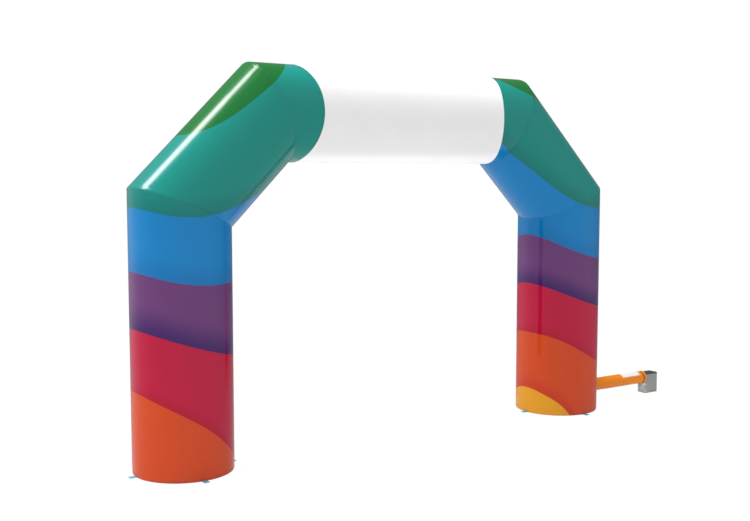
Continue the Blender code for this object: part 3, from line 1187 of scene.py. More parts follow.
@dataclass
class ArchTube:
    """One air-tight tube of the arch, sewn to its neighbours or to a floor panel at its ends."""

    node: str
    ends: tuple[TubeEnd, TubeEnd]
    finishes: tuple[Finish, ...]
    threads: tuple[Finish, ...]
    radius: float = TUBE_RADIUS
    sides: int = 288
    ring_spacing: float = 0.09
    spare_share: float = 1.2
    long_edge: float = 0.3
    backward: float = 0.9
    pucker_zone: float = 0.45
    rings: list[np.ndarray] = field(default_factory=list)
    lines: list[np.ndarray] = field(default_factory=list)

    @property
    def run(self) -> Vector:
        """The way from the tube's start to its end."""
        return self.ends[1].point - self.ends[0].point

    @property
    def axis(self) -> Vector:
        """The tube's direction from start to end."""
        return self.run.normalized()

    @property
    def tangent(self) -> Vector:
        """The direction across the seam at the tube's back."""
        return self.axis.cross(BACK)

    def along(self, points: np.ndarray, way: Vector) -> np.ndarray:
        """Measures points along a direction, from the start of the tube's axis."""
        return (points - np.array(self.ends[0].point)) @ np.array(way)

    def angles(self, points: np.ndarray) -> tuple[np.ndarray, np.ndarray]:
        """Measures points about the tube's axis.

        Args:
            points: An array with a row for each point.

        Returns:
            Each point's angle from the back, and the direction straight out from the axis to it.
        """
        off = points - np.array(self.ends[0].point)
        out = unit_rows(off - self.along(points, self.axis)[:, None] * np.array(self.axis))
        return np.arctan2(out @ np.array(self.tangent), out @ np.array(BACK)), out

    def line(self, points: np.ndarray, offset: float) -> np.ndarray:
        """Finds the numbers of the points on the back that lie at an offset from the back seam."""
        behind = self.angles(points)[1] @ np.array(BACK) > self.backward
        return np.flatnonzero(behind & (np.abs(self.along(points, self.tangent) - offset) < SAME_PLACE))

    def cut_to_length(self) -> Piece:
        """Models the bare tube: a drum cut at both seams, ringed near them and along its back.

        Returns:
            The bare tube.
        """
        spare = self.axis * (self.radius * self.spare_share)
        start, end = self.ends
        tube = Bench.drum(start.point - spare, end.point + spare, self.radius, self.sides)
        with Bench.editing(tube):
            for end in self.ends:
                Bench.cut_all(end.inside(0.0), end.outward, clear=True)
            for end in self.ends:
                for step in end.seam[1:]:
                    Bench.cut_all(end.inside(step.distance), end.outward)
            Bench.pick(tube, Element.EDGE, lambda e: e.calc_length() > self.long_edge)
            bpy.ops.mesh.subdivide(number_cuts=int(self.run.length / self.ring_spacing))
            for step in BACK_SEAM:
                Bench.pick(tube, Element.FACE,
                           lambda f: f.normal.y > self.backward and abs(f.normal.dot(self.axis)) < 0.2)
                Bench.cut(self.ends[0].point + self.tangent * step.distance, self.tangent)
        return tube

    def draw_in(self, tube: Piece) -> None:
        """Draws the rings in towards the seams and lays the flat-felled seam along the back.

        Args:
            tube: The bare tube.
        """
        points = Bench.points(tube)
        with Bench.editing(tube):
            for end in self.ends:
                for step in (step for step in end.seam if step.draw_in):
                    Bench.pick_points(tube, end.ring(points, step.distance))
                    bpy.ops.transform.resize(value=(1.0 - step.draw_in / self.radius,) * 3,
                                             center_override=end.centre(self.axis, step.distance))
            for step in (step for step in BACK_SEAM if step.draw_in):
                Bench.pick_points(tube, self.line(points, step.distance))
                bpy.ops.transform.translate(value=BACK * -step.draw_in)

    def pucker(self, tube: Piece) -> None:
        """Presses the short puckers in that a tight seam leaves, deepest by the stitches.

        Args:
            tube: The tube with its seams drawn in.
        """
        points = Bench.points(tube)
        angle, out = self.angles(points)
        inward = np.zeros(len(points))
        for end in self.ends:
            rng = np.random.default_rng(end.seed)
            depth = np.maximum(end.depths(points) / abs(self.axis.dot(end.outward)), 0.0)
            near = np.where(depth < self.pucker_zone, np.clip(depth / 0.012, 0.0, 1.0) ** 2, 0.0)
            for number in range(end.puckers):
                centre = -math.pi + (number + rng.uniform(0.15, 0.85)) * 2 * math.pi / end.puckers
                width = rng.uniform(0.010, 0.021)
                reach = rng.uniform(0.016, 0.045) * (1.5 if rng.random() < 0.2 else 1.0)
                deep = end.pucker_depth * rng.uniform(0.35, 1.0)
                away = turned_from(angle, centre) * self.radius
                shape = bell(away, width) - 0.35 * bell(away, 2.1 * width)
                inward += near * deep * shape * np.exp(-((depth / reach) ** 1.5))
        Bench.set_points(tube, points - out * inward[:, None])

    def build(self) -> None:
        """Builds the tube's skin, dresses it and sews its stitches."""
        tube = self.cut_to_length()
        Bench.tidy(tube)
        points = Bench.points(tube)
        self.rings = [end.ring(points, row) for end in self.ends for row in end.rows]
        self.lines = [self.line(points, row) for row in BACK_ROWS]
        self.draw_in(tube)
        self.pucker(tube)
        self.dress(tube)
        Stitching(f"{self.node}_stitches", Slot.SKIN, self.threads, rows=self.stitch_rows(tube)).build()

    def dress(self, tube: Piece) -> None:
        """Args:
            tube: The shaped tube.
        """
        points = Bench.points(tube)
        around = self.angles(points)[0] * self.radius
        Bench.unwrap(tube, around, self.along(points, self.axis), around=2 * math.pi * self.radius)
        Bench.smooth(tube, 50)
        Bench.place(tube, f"{self.node}_skin", Slot.SKIN, *self.finishes, stands_for=self.node)

    def stitch_rows(self, tube: Piece) -> list[StitchRow]:
        """Reads where the stitches of this tube's own seams run.

        Args:
            tube: The finished tube.

        Returns:
            The rows by the ends, then the rows along the back.
        """
        points = Bench.points(tube)
        angle, out = self.angles(points)
        rows = []
        for groups, place, closed in ((self.rings, angle, True),
                                      (self.lines, self.along(points, self.axis), False)):
            for group in groups:
                order = group[np.argsort(place[group])]
                rows.append(StitchRow(points[order], out[order], closed))
        return rows


@dataclass
class Arch:
    """The five tubes from foot to foot, and the stitching of every seam between them."""

    tubes: tuple[tuple[str, tuple[Side, ...]], ...] = (
        ("leg_left", (Side.LEFT,)), ("shoulder_left", (Side.LEFT,)), ("beam", (Side.LEFT, Side.RIGHT)),
        ("shoulder_right", (Side.RIGHT,)), ("leg_right", (Side.RIGHT,)),
    )
    foot_pucker: float = 0.0007
    mitre_pucker: float = 0.0011
    first_seed: int = 40

    @staticmethod
    def corners() -> list[Vector]:
        """Works out where the tubes' axes start, meet and end.

        Returns:
            The places, from left to right.
        """
        left, right = Side.LEFT.leg_axis, Side.RIGHT.leg_axis
        bottom = FLOOR_THICKNESS + PIECE_GAP
        spots = ((left, bottom), (left, KNEE_HEIGHT), (left + SHOULDER_RUN, BEAM_HEIGHT),
                 (right - SHOULDER_RUN, BEAM_HEIGHT), (right, KNEE_HEIGHT), (right, bottom))
        return [Vector((x, 0, z)) for x, z in spots]

    def tube_end(self, number: int, corner: Vector, outward: Vector, sewn: bool) -> TubeEnd:
        """Works out one end of a tube.

        Args:
            number: The corner's number, from left to right.
            corner: The corner.
            outward: The seam's normal, away from the tube.
            sewn: Whether the rows of a mitre seam run on this tube.

        Returns:
            The end.
        """
        seed = self.first_seed + number
        if number in (0, len(self.tubes)):
            corner = corner + outward * PIECE_GAP / 2
            return TubeEnd(corner, outward, FOOT_SEAM, FOOT_ROWS, seed, self.foot_pucker)
        return TubeEnd(corner, outward, MITRE_SEAM, MITRE_ROWS if sewn else (), seed, self.mitre_pucker)

    def build(self) -> None:
        """Builds every tube. A mitre seam is sewn from the tube that is farther from the beam's middle."""
        corners = self.corners()
        runs = [(b - a).normalized() for a, b in zip(corners, corners[1:])]
        seams = [runs[0]] + [(a + b).normalized() for a, b in zip(runs, runs[1:])] + [runs[-1]]
        for number, (name, sides) in enumerate(self.tubes):
            start = self.tube_end(number, corners[number], -seams[number], sides == (Side.RIGHT,))
            end = self.tube_end(number + 1, corners[number + 1], seams[number + 1], sides == (Side.LEFT,))
            ArchTube(name, (start, end), tuple(CLOTHS[side] for side in sides),
                     tuple(THREADS[side] for side in sides)).build()


@dataclass
class FloorPanel:
    """The round panel sewn in under a leg, with a turned hem at its rim."""

    side: Side
    radius: float = 0.4955
    hem: float = 0.016
    cloth: float = 0.0018
    rounding: float = 0.0005
    rim_width: float = 0.001
    rings: int = 5
    sides: int = 192

    def on_rim(self, edge: bmesh.types.BMEdge) -> bool:
        """Says whether an edge runs round the panel's rim."""
        level = abs(edge.verts[0].co.z - edge.verts[1].co.z) < NEAR
        return level and all(math.hypot(v.co.x - self.side.leg_axis, v.co.y) > self.radius - self.rim_width
                             for v in edge.verts)

    def build(self) -> None:
        """Builds the panel in the place of its solid."""
        middle = Vector((self.side.leg_axis, 0, FLOOR_THICKNESS / 2))
        panel = Bench.disc(middle, self.radius, self.sides)
        with Bench.editing(panel):
            bpy.ops.mesh.select_mode(type="FACE")
            bpy.ops.mesh.select_all(action="SELECT")
            Bench.inset(self.hem)
            for _ in range(self.rings):
                Bench.inset(self.radius / (self.rings + 1))
            bpy.ops.mesh.poke()
        Bench.apply(panel, "SOLIDIFY", thickness=self.cloth, offset=0.0)
        with Bench.editing(panel):
            Bench.pick(panel, Element.EDGE, self.on_rim)
            Bench.bevel(self.rounding)
        Bench.tidy(panel)
        points = Bench.points(panel)
        Bench.unwrap(panel, points[:, 0], points[:, 1])
        node, width = f"floor_{self.side.word}", 2 * self.radius
        Bench.place(panel, f"{node}_panel", Slot.FLOOR, FLOOR_CLOTH, stands_for=node)


class Bearing(Enum):
    """Where a ground tab sits round its leg, in degrees from the side away from the other leg."""

    OUTER = 0
    FRONT = 90
    INNER = 180
    BACK = 270


@dataclass
class GroundTabs:
    """Folded webbing tabs round the foot of each leg, sewn under the hem."""

    width: float = 0.06
    inner: float = 0.4955
    tip: float = 0.562
    low: float = 0.0002
    high: float = 0.0038
    ply: float = 0.0017
    rounding: float = 0.00035
    wander: float = 0.00006
    box_start: float = 0.012
    box_end: float = 0.042
    box_margin: float = 0.006
    stitch_height: float = 0.00375

    @property
    def cut_length(self) -> float:
        """How long the strip was before it was folded."""
        return 2 * (self.tip - self.inner) + 0.004

    def strip(self) -> Piece:
        """Models one folded strip that points along -X from an axis at the origin.

        Returns:
            The bare strip.
        """
        low, high = self.low + self.ply / 2, self.high - self.ply / 2
        bend, level = (high - low) / 2, (high + low) / 2
        run = np.linspace(self.inner, self.tip - bend - self.ply / 2, 14)
        turn = np.radians(np.arange(-90, 91, 20))
        fold = [(run[-1] + bend * math.cos(a), level + bend * math.sin(a)) for a in turn]
        path = np.array([(r, low) for r in run[:-1]] + fold + [(r, high) for r in run[::-1][1:]])
        across = np.linspace(-self.width / 2, self.width / 2, 9)
        edges = np.where(across > 0, 1, -1) * np.sin(31 * np.arange(len(path)))[:, None]
        places = (-path[:, :1], across + self.wander * edges, path[:, 1:])
        return Bench.strip("tab", places, across, run_lengths(path)[:, None], self.ply, self.rounding)

    def box_stitch(self) -> list[StitchRow]:
        """Lays out the crossed box of stitches on a strip's upper ply.

        Returns:
            The rows, on a strip that points along -X.
        """
        near, far = self.inner + self.box_start, self.inner + self.box_end
        half = self.width / 2 - self.box_margin
        corners = [(-near, -half), (-far, -half), (-far, half), (-near, half)]
        out = np.tile([[0.0, 0.0, 1.0]], (2, 1))
        return [StitchRow(np.array([(*corners[a], self.stitch_height), (*corners[b], self.stitch_height)]),
                          out, closed=False)
                for a, b in ((0, 1), (1, 2), (2, 3), (3, 0), (0, 2), (1, 3))]

    def build(self) -> None:
        """Models one tab and its stitches, then copies them round both legs."""
        strip = self.strip()
        sewn = Stitching("tab_stitches", Slot.TAB, (TAB_THREAD,), pitch=0.0036, length=0.0028,
                         thickness=0.0007, lift=0.0, rows=self.box_stitch())
        for side in Side:
            for bearing in Bearing:
                angle = math.radians(bearing.value)
                if side is Side.RIGHT:
                    angle = math.pi - angle
                turn = Matrix.Translation((side.leg_axis, 0, 0)) @ Matrix.Rotation(angle, 4, "Z")
                self.sew_on(strip, sewn, f"tab_{side.word}_{bearing.name.lower()}", turn)
        bpy.data.objects.remove(strip)

    def sew_on(self, strip: Piece, sewn: Stitching, name: str, turn: Matrix) -> None:
        """Copies the strip and its stitches to one place round a leg.

        Args:
            strip: The modelled strip.
            sewn: Its stitches.
            name: The tab's name.
            turn: The move from the origin to the tab's place.
        """
        tab = strip.copy()
        tab.data = strip.data.copy()
        bpy.context.scene.collection.objects.link(tab)
        tab.matrix_world = turn
        Bench.take(tab)
        Bench.place(Bench.settle(), f"{name}_webbing", Slot.TAB, TAB_WEBBING, stands_for=name)
        spun, moved = np.array(turn.to_3x3()), np.array(turn.translation)
        rows = [replace(row, points=row.points @ spun.T + moved) for row in sewn.rows]
        thread = replace(sewn, name=f"{name}_stitches", rows=rows).build()


SLEEVE_SEAM = seam(
    (0.0, 0.0022), (0.003, 0.0010), (0.006, 0.0006), (0.008, 0.0009), (0.0115, 0.0002), (0.015, 0.0007),
    (0.019, 0.0002), (0.0205, 0.0009), (0.060, 0.0),
)
SLEEVE_RINGS = (0.0, 0.003, 0.006, 0.008, 0.0115, 0.015, 0.019, 0.024, 0.032, 0.044, 0.060)
SLEEVE_ROWS = (0.008, 0.015)
CUFF_RADII = (
    (PIECE_GAP, 0.0815), (0.006, 0.0832), (0.015, 0.0800), (0.026, 0.0720), (0.042, 0.0720), (0.054, 0.0800),
    (0.068, 0.0822), (0.085, 0.0812), (0.100, 0.0800),
)


@dataclass
class AirSleeve:
    """The orange sleeve that carries air from the blower to the right leg."""

    radius: float = 0.08
    leg_wall: float = TUBE_RADIUS + PIECE_GAP
    nozzle_radius: float = 0.062
    nozzle_length: float = 0.07
    sides: int = 128
    body_rings: int = 65
    first_share: float = 0.075
    seam_share: float = 0.06
    cuff_rings: int = 54
    cuff_steps: int = 400
    cuff_blur: int = 19
    tie_folds: int = 21
    leg_puckers: int = 16
    fold_seed: int = 11

    @property
    def angles(self) -> np.ndarray:
        """The angle of each point of a ring."""
        return np.linspace(0, 2 * math.pi, self.sides, endpoint=False)

    def radius_at(self, distance: np.ndarray) -> np.ndarray:
        """Gives the cuff's radius at distances from the housing.

        Args:
            distance: The distances.

        Returns:
            The radius at each, rounded between the cuff's sizes.
        """
        far, sizes = zip(*CUFF_RADII)
        fine = np.linspace(far[0], far[-1], self.cuff_steps)
        kernel = np.hanning(self.cuff_blur)
        padded = np.pad(np.interp(fine, far, sizes), self.cuff_blur // 2, mode="edge")
        return np.interp(distance, fine, np.convolve(padded, kernel / kernel.sum(), mode="valid"))

    def gathers(self, grid_x: np.ndarray) -> np.ndarray:
        """Works out the folds that the tie presses into the cuff, and soft puckers by the leg.

        Args:
            grid_x: Place along the sleeve of each point, a row for each ring.

        Returns:
            How far each point stands out or in.
        """
        rng = np.random.default_rng(self.fold_seed)
        gap = np.abs(grid_x - (HOUSING_FACE - TIE_INSET))
        beyond = grid_x - grid_x[0][None, :]
        out = np.zeros_like(grid_x)
        for number in range(self.tie_folds):
            centre = (number + rng.uniform(0.2, 0.8)) * 2 * math.pi / self.tie_folds
            width, deep = rng.uniform(0.05, 0.09), rng.uniform(0.0008, 0.0022)
            reach = rng.uniform(0.02, 0.055)
            fold = bell(turned_from(self.angles, centre), width)[None, :]
            out -= deep * fold * bell(gap, reach) * np.clip((gap - 0.006) / 0.008, 0, 1)
        for number in range(self.leg_puckers):
            centre = (number + rng.uniform(0.2, 0.8)) * 2 * math.pi / self.leg_puckers
            fold = bell(turned_from(self.angles, centre), rng.uniform(0.06, 0.12))[None, :]
            out -= rng.uniform(0.0004, 0.0012) * fold * bell(beyond, 0.05) * np.clip(beyond / 0.01, 0, 1)
        swell = 0.0007 * np.sin(grid_x * 9.0 + 0.8) + 0.0005 * np.sin(grid_x * 23.0)
        return out + swell * np.clip(beyond / 0.1, 0, 1) * np.clip(gap / 0.1, 0, 1)

    def build(self) -> None:
        """Builds the sleeve in the place of its solid, gathered at the cuff and open for the nozzle."""
        y, z = np.cos(self.angles), np.sin(self.angles)
        first = Side.RIGHT.leg_axis + np.sqrt(self.leg_wall ** 2 - (self.radius * y) ** 2)
        last = HOUSING_FACE - PIECE_GAP
        cuff_start = HOUSING_FACE - CUFF_RADII[-1][0]
        start = first + SLEEVE_RINGS[-1]
        shares = np.linspace(self.first_share, 1.0, self.body_rings + 1)[:-1] - self.seam_share
        rings = [first + distance for distance in SLEEVE_RINGS]
        rings += [start + (cuff_start - start) * share / (1.0 - self.seam_share) for share in shares]
        rings += [np.full(self.sides, x) for x in np.linspace(cuff_start, last, self.cuff_rings)]
        grid_x = np.array(rings)
        radius = np.where(grid_x < cuff_start, self.radius, self.radius_at(HOUSING_FACE - grid_x))
        sunk = np.interp(grid_x - first, *zip(*SLEEVE_SEAM))
        radius = radius - sunk + self.gathers(grid_x)
        points = np.stack([grid_x, radius * y, AIR_HEIGHT + radius * z], axis=2).reshape(-1, 3)
        n = self.sides
        faces = [(r * n + k, (r + 1) * n + k, (r + 1) * n + (k + 1) % n, r * n + (k + 1) % n)
                 for r in range(len(rings) - 1) for k in range(n)]
        sleeve = Bench.mesh_piece("sleeve_skin", points, faces)
        self.socket(sleeve, Vector((last, 0, AIR_HEIGHT)), len(points))
        Bench.tidy(sleeve, 50)
        self.dress(sleeve)

    def socket(self, sleeve: Piece, middle: Vector, total: int) -> None:
        """Closes the end at the leg, and turns the cuff's end in to make a socket for the nozzle.

        Args:
            sleeve: The open sleeve.
            middle: The middle of the cuff's end.
            total: The number of the sleeve's points.
        """
        inner = (self.nozzle_radius + PIECE_GAP) / self.radius_at(np.array([PIECE_GAP]))[0]
        with Bench.editing(sleeve):
            Bench.pick_points(sleeve, range(self.sides))
            bpy.ops.mesh.edge_face_add()
            Bench.pick_points(sleeve, range(total - self.sides, total))
            bpy.ops.mesh.select_mode(type="EDGE")
            bpy.ops.mesh.extrude_edges_move()
            bpy.ops.transform.resize(value=(1, inner, inner), center_override=middle)
            bpy.ops.mesh.extrude_edges_move()
            bpy.ops.transform.translate(value=(-self.nozzle_length - PIECE_GAP, 0, 0))
            bpy.ops.mesh.edge_face_add()

    def dress(self, sleeve: Piece) -> None:
        """Args:
            sleeve: The shaped sleeve.
        """
        points = Bench.points(sleeve)
        angle = np.arctan2(points[:, 2] - AIR_HEIGHT, points[:, 1])
        Bench.unwrap(sleeve, angle * self.radius, points[:, 0], around=2 * math.pi * self.radius)
        Bench.place(sleeve, "sleeve_skin", Slot.SLEEVE, SLEEVE_CLOTH, stands_for="sleeve")
        rows = []
        for distance in SLEEVE_ROWS:
            start = SLEEVE_RINGS.index(distance) * self.sides
            ring = points[start:start + self.sides]
            rows.append(StitchRow(ring, unit_rows((ring - [0, 0, AIR_HEIGHT]) * [0, 1, 1])))
        Stitching("sleeve_stitches", Slot.SLEEVE, (SLEEVE_THREAD,), pitch=0.005, length=0.0038,
                  thickness=0.0009, rows=rows).build()


@dataclass
class SleeveTie:
    """The webbing tie that clamps the cuff on the nozzle, with its lapped end. Its dark tone is partly
    painted shade.
    """

    inner: float = 0.0723
    ply: float = 0.0020
    ply_gap: float = 0.0002
    rounding: float = 0.0004
    width: float = 0.015
    sides: int = 120
    start: float = 60.0
    lap: float = 0.55
    rise: float = 0.25

    def build(self) -> None:
        """Builds the tie in the place of its solid."""
        turns = 2 * math.pi + self.lap
        count = int(self.sides * turns / (2 * math.pi))
        turned = np.linspace(0, turns, count)[:, None]
        angle = math.radians(self.start) + turned
        rise = np.interp(turned, [0, 2 * math.pi - self.rise, 2 * math.pi, turns], [0, 0, 1, 1])
        radius = self.inner + self.ply / 2 + rise * (self.ply + self.ply_gap)
        across = np.linspace(-self.width / 2, self.width / 2, 7)
        middle_x = HOUSING_FACE - TIE_INSET
        places = (middle_x + across, radius * np.cos(angle), AIR_HEIGHT + radius * np.sin(angle))
        tie = Bench.strip("sleeve_tie_strap", places, across, angle * self.inner, self.ply - self.ply_gap,
                          self.rounding)
        Bench.place(tie, "sleeve_tie_strap", Slot.TIE, TIE_WEBBING, stands_for="sleeve_tie")


@dataclass
class SleevePatch:
    """The white patch sewn on the sleeve, plain, with a turned edge."""

    start_x: float = HOUSING_FACE - 0.43
    end_x: float = HOUSING_FACE - 0.11
    first_angle: float = 33.75
    last_angle: float = 112.5
    radius: float = 0.0810
    thickness: float = 0.0010
    rounding: float = 0.0003
    edge_drop: float = -0.0001
    turned_edge: float = 0.00025
    stitch_inset: float = 0.006
    rows: int = 28
    columns: int = 56
    track_steps: int = 24

    def build(self) -> None:
        """Builds the patch in the place of its solid, and sews it on."""
        angle = np.radians(np.linspace(self.first_angle, self.last_angle, self.rows))[:, None]
        along = np.linspace(self.start_x, self.end_x, self.columns)
        row, column = (np.minimum(np.arange(n), np.arange(n)[::-1]) for n in (self.rows, self.columns))
        rim = np.minimum(row[:, None], column)
        radius = self.radius + np.where(rim == 0, self.edge_drop, np.where(rim <= 1, self.turned_edge, 0.0))
        places = (along, -radius * np.cos(angle), AIR_HEIGHT + radius * np.sin(angle))
        patch = Bench.strip("sleeve_patch_cloth", places, angle * self.radius, along, self.thickness,
                            self.rounding)
        Bench.place(patch, "sleeve_patch_cloth", Slot.PATCH, PATCH_CLOTH, stands_for="sleeve_patch")
        thread = Stitching("sleeve_patch_stitches", Slot.PATCH, (WHITE_THREAD,), pitch=0.005, length=0.0038,
                           thickness=0.0008, rows=[self.border()]).build()

    def border(self) -> StitchRow:
        """Lays out the row of stitches just inside the patch's edge.

        Returns:
            The row.
        """
        low = math.radians(self.first_angle) + self.stitch_inset / self.radius
        high = math.radians(self.last_angle) - self.stitch_inset / self.radius
        sweep = np.linspace(low, high, self.track_steps)
        run = np.linspace(self.start_x + self.stitch_inset, self.end_x - self.stitch_inset, self.track_steps)
        track = [(run[0], a) for a in sweep] + [(x, high) for x in run[1:]]
        track += [(run[-1], a) for a in sweep[::-1][1:]] + [(x, low) for x in run[::-1][1:-1]]
        out = np.array([(0.0, -math.cos(a), math.sin(a)) for _, a in track])
        middles = np.array([(x, 0, AIR_HEIGHT) for x, _ in track])
        return StitchRow(middles + out * (self.radius + self.thickness / 2), out)


@dataclass(frozen=True)
class SlotRow:
    """A row of like slots cut into a flat side: the first one's corners, and how they repeat."""

    low: tuple[float, float, float]
    high: tuple[float, float, float]
    step: Vector
    count: int
    depth: float
    rim: float

    def slots(self) -> list[tuple[Vector, Vector]]:
        """Gives the lowest and the highest corner of each slot."""
        return [(Vector(self.low) + self.step * number, Vector(self.high) + self.step * number)
                for number in range(self.count)]


BACK_VENTS = SlotRow((3.496, 0.07, 0.152), (3.626, 0.07, 0.158), UP * 0.013, 6, depth=0.010, rim=0.0006)
SIDE_VENTS = SlotRow((3.671, -0.042, 0.152), (3.671, 0.042, 0.158), UP * 0.013, 6, depth=0.010, rim=0.0006)
LID_SLOTS = SlotRow((3.4805, -0.044, 0.266), (3.4895, 0.044, 0.266), RIGHTWARD * 0.019, 9, depth=0.008,
                    rim=0.0008)


@dataclass
class Blower:
    """The small electric blower: a grey housing, a black intake lid, its nozzle and its power inlet."""

    low: Vector = field(default_factory=lambda: Vector((HOUSING_FACE, -0.07, 0.0)))
    high: Vector = field(default_factory=lambda: Vector((HOUSING_FACE + 0.22, 0.07, 0.25)))
    lid_top: float = 0.266
    corner: float = 0.006
    edge: float = 0.0018
    split_height: float = 0.128
    split_half: float = 0.0012
    split_sink: tuple[float, float, float] = (0.991, 0.986, 1.0)
    base_rim: float = 0.008
    base_depth: float = 0.004
    lid_rim: float = 0.014
    lid_wall: float = 0.0012
    lid_sink: float = 0.0025
    lid_edge: float = 0.004
    rim_width: float = 0.0025
    inlet_corner: float = 0.003
    inlet_rim: float = 0.0035
    inlet_edge: float = 0.0004
    inlet_depth: float = 0.006
    pin_places: tuple[tuple[float, float], ...] = ((-0.007, -0.002), (0.0, 0.003), (0.007, -0.002))
    pin_root: float = 0.0014
    pin_tip: float = 0.0062
    pin_half_width: float = 0.0009
    pin_half_height: float = 0.002
    pin_edge: float = 0.0004
    screw_side: float = 0.016
    screw_low: float = 0.020
    screw_high: float = 0.014
    screw_radius: float = 0.0036
    screw_root: float = 0.0010
    screw_top: float = 0.0012
    screw_sides: int = 20
    drive_slope: float = 0.0009
    drive_rise: float = 0.0005
    drive_rim: float = 0.0012
    drive_depth: float = 0.0009

    @staticmethod
    def recess(piece: Piece, facing: Vector, row: SlotRow) -> None:
        """Cuts a row of slots into one flat face, each with a narrow rim.

        Args:
            piece: The block.
            facing: The face's normal.
            row: The slots.
        """
        slots = row.slots()
        flat = [k for k in range(3) if abs(facing[k]) < 0.5]

        def inside(face: bmesh.types.BMFace) -> bool:
            """Says whether a face of the flat side lies in one of the slots."""
            middle = face.calc_center_median()
            return face.normal.dot(facing) > FACING and any(
                all(low[k] - NEAR < middle[k] < high[k] + NEAR for k in flat) for low, high in slots)

        with Bench.editing(piece):
            for low, high in slots:
                for axis in flat:
                    for corner in (low, high):
                        Bench.pick_facing(piece, facing)
                        Bench.cut(corner, (RIGHTWARD, BACK, UP)[axis])
            Bench.pick(piece, Element.FACE, inside)
            Bench.inset(row.rim, -row.rim)
            Bench.pull(facing * -row.depth)

    def housing(self) -> None:
        """Builds the housing with its moulding line, cooling slots and hollow base."""
        body = Bench.box(self.low, self.high)
        middle = (self.low + self.high) / 2
        middle.z = self.split_height
        with Bench.editing(body):
            Bench.pick_running(body, UP, 0.1)
            Bench.bevel(self.corner, segments=4)
            for lift in (-self.split_half, 0.0, self.split_half):
                Bench.cut_all(UP * (self.split_height + lift), UP)
            Bench.pick(body, Element.POINT, lambda v: abs(v.co.z - self.split_height) < NEAR)
            bpy.ops.transform.resize(value=self.split_sink, center_override=middle)
            for level in (self.low.z, self.high.z):
                Bench.pick(body, Element.EDGE,
                           lambda e, z=level: all(abs(v.co.z - z) < NEAR for v in e.verts))
                Bench.bevel(self.edge)
            Bench.pick_facing(body, -UP)
            Bench.inset(self.base_rim)
            Bench.pull(UP * self.base_depth)
        self.recess(body, BACK, BACK_VENTS)
        self.recess(body, RIGHTWARD, SIDE_VENTS)
        Bench.tidy(body)
        Bench.place(body, "blower_housing_shell", Slot.HOUSING, HOUSING_GREY, stands_for="blower_housing")

    def lid(self) -> None:
        """Builds the black lid with its sunk, slotted air intake."""
        low = Vector((self.low.x, self.low.y, self.high.z + PIECE_GAP))
        high = Vector((self.high.x, self.high.y, self.lid_top))

        def on_rim(edge: bmesh.types.BMEdge) -> bool:
            """Says whether an edge runs round the outside of the top."""
            return all(abs(v.co.z - high.z) < NEAR and min(
                v.co.x - low.x, high.x - v.co.x, v.co.y - low.y, high.y - v.co.y) < self.rim_width
                for v in edge.verts)

        lid = Bench.box(low, high)
        with Bench.editing(lid):
            Bench.pick_facing(lid, UP)
            Bench.inset(self.lid_rim)
            Bench.inset(self.lid_wall, -self.lid_sink)
            Bench.pick_running(lid, UP, 0.01)
            Bench.bevel(self.corner, segments=4)
            Bench.pick(lid, Element.EDGE, on_rim)
            Bench.bevel(self.lid_edge, segments=3)
        self.recess(lid, UP, LID_SLOTS)
        Bench.tidy(lid)
        Bench.place(lid, "blower_lid_cover", Slot.BLACK, LID_BLACK, stands_for="blower_lid")

    def inlet(self) -> None:
        """Builds the power inlet with its recess and three flat pins."""
        low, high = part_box("power_inlet")
        inlet = Bench.box(low, high)
        with Bench.editing(inlet):
            Bench.pick_running(inlet, BACK, 0.004)
            Bench.bevel(self.inlet_corner, segments=3)
            Bench.pick_facing(inlet, BACK)
            Bench.inset(self.inlet_rim)
            Bench.inset(self.inlet_edge, -self.inlet_edge)
            Bench.pull(BACK * -self.inlet_depth)
        Bench.tidy(inlet)
        Bench.place(inlet, "power_inlet_frame", Slot.BLACK, LID_BLACK, stands_for="power_inlet")
        middle = (low + high) / 2
        pins = []
        for across, rise in self.pin_places:
            x, z = middle.x + across, middle.z + rise
            pin = Bench.box(
                Vector((x - self.pin_half_width, low.y + self.pin_root, z - self.pin_half_height)),
                Vector((x + self.pin_half_width, low.y + self.pin_tip, z + self.pin_half_height)))
            with Bench.editing(pin):
                Bench.pick_facing(pin, BACK)
                Bench.inset(self.pin_edge, self.pin_edge)
            pins.append(pin)
        self.join(pins, "power_inlet_pins", Slot.BLACK)

    def screw(self, base: Vector, out: Vector) -> Piece:
        """Models one pan-head screw with its sunk drive.

        Args:
            base: Where its head sits on the housing.
            out: The direction straight out of the housing.

        Returns:
            The screw's head.
        """
        head = Bench.drum(base - out * self.screw_root, base + out * self.screw_top, self.screw_radius,
                          self.screw_sides)
        with Bench.editing(head):
            Bench.pick_facing(head, out)
            Bench.inset(self.drive_slope, self.drive_rise)
            Bench.inset(self.drive_rim)
            Bench.pull(out * -self.drive_depth)
        return head

    def screws(self) -> None:
        """Builds the housing's screws, four at the front and four at the back."""
        low, high, inset = self.low, self.high, self.screw_side
        heads = [self.screw(Vector((x, y, z)), out) for y, out in ((low.y, -BACK), (high.y, BACK))
                 for x in (low.x + inset, high.x - inset)
                 for z in (low.z + self.screw_low, high.z - self.screw_high)]
        self.join(heads, "blower_screws", Slot.HOUSING)

    @staticmethod
    def join(parts: Sequence[Piece], name: str, slot: Slot) -> None:
        """Joins small steel parts as one piece and places it.

        Args:
            parts: The parts.
            name: The piece's name.
            slot: The record's finish named for it, passed on to the placing, which doesn't use it.
        """
        Bench.take(parts[0])
        for part in parts:
            part.select_set(True)
        bpy.ops.object.join()
        joined = bpy.context.object
        Bench.tidy(joined)
        Bench.place(joined, name, slot, STEEL)

    def build(self) -> None:
        """Builds the blower and gives its nozzle, which the cuff hides, a moulded finish."""
        self.housing()
        self.lid()
        self.inlet()
        self.screws()
        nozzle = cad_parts["blower_nozzle"]
        nozzle.data.materials.clear()
        nozzle.data.materials.append(LID_BLACK.material())
        LOG.info("blower_nozzle: kept, with a moulded finish")


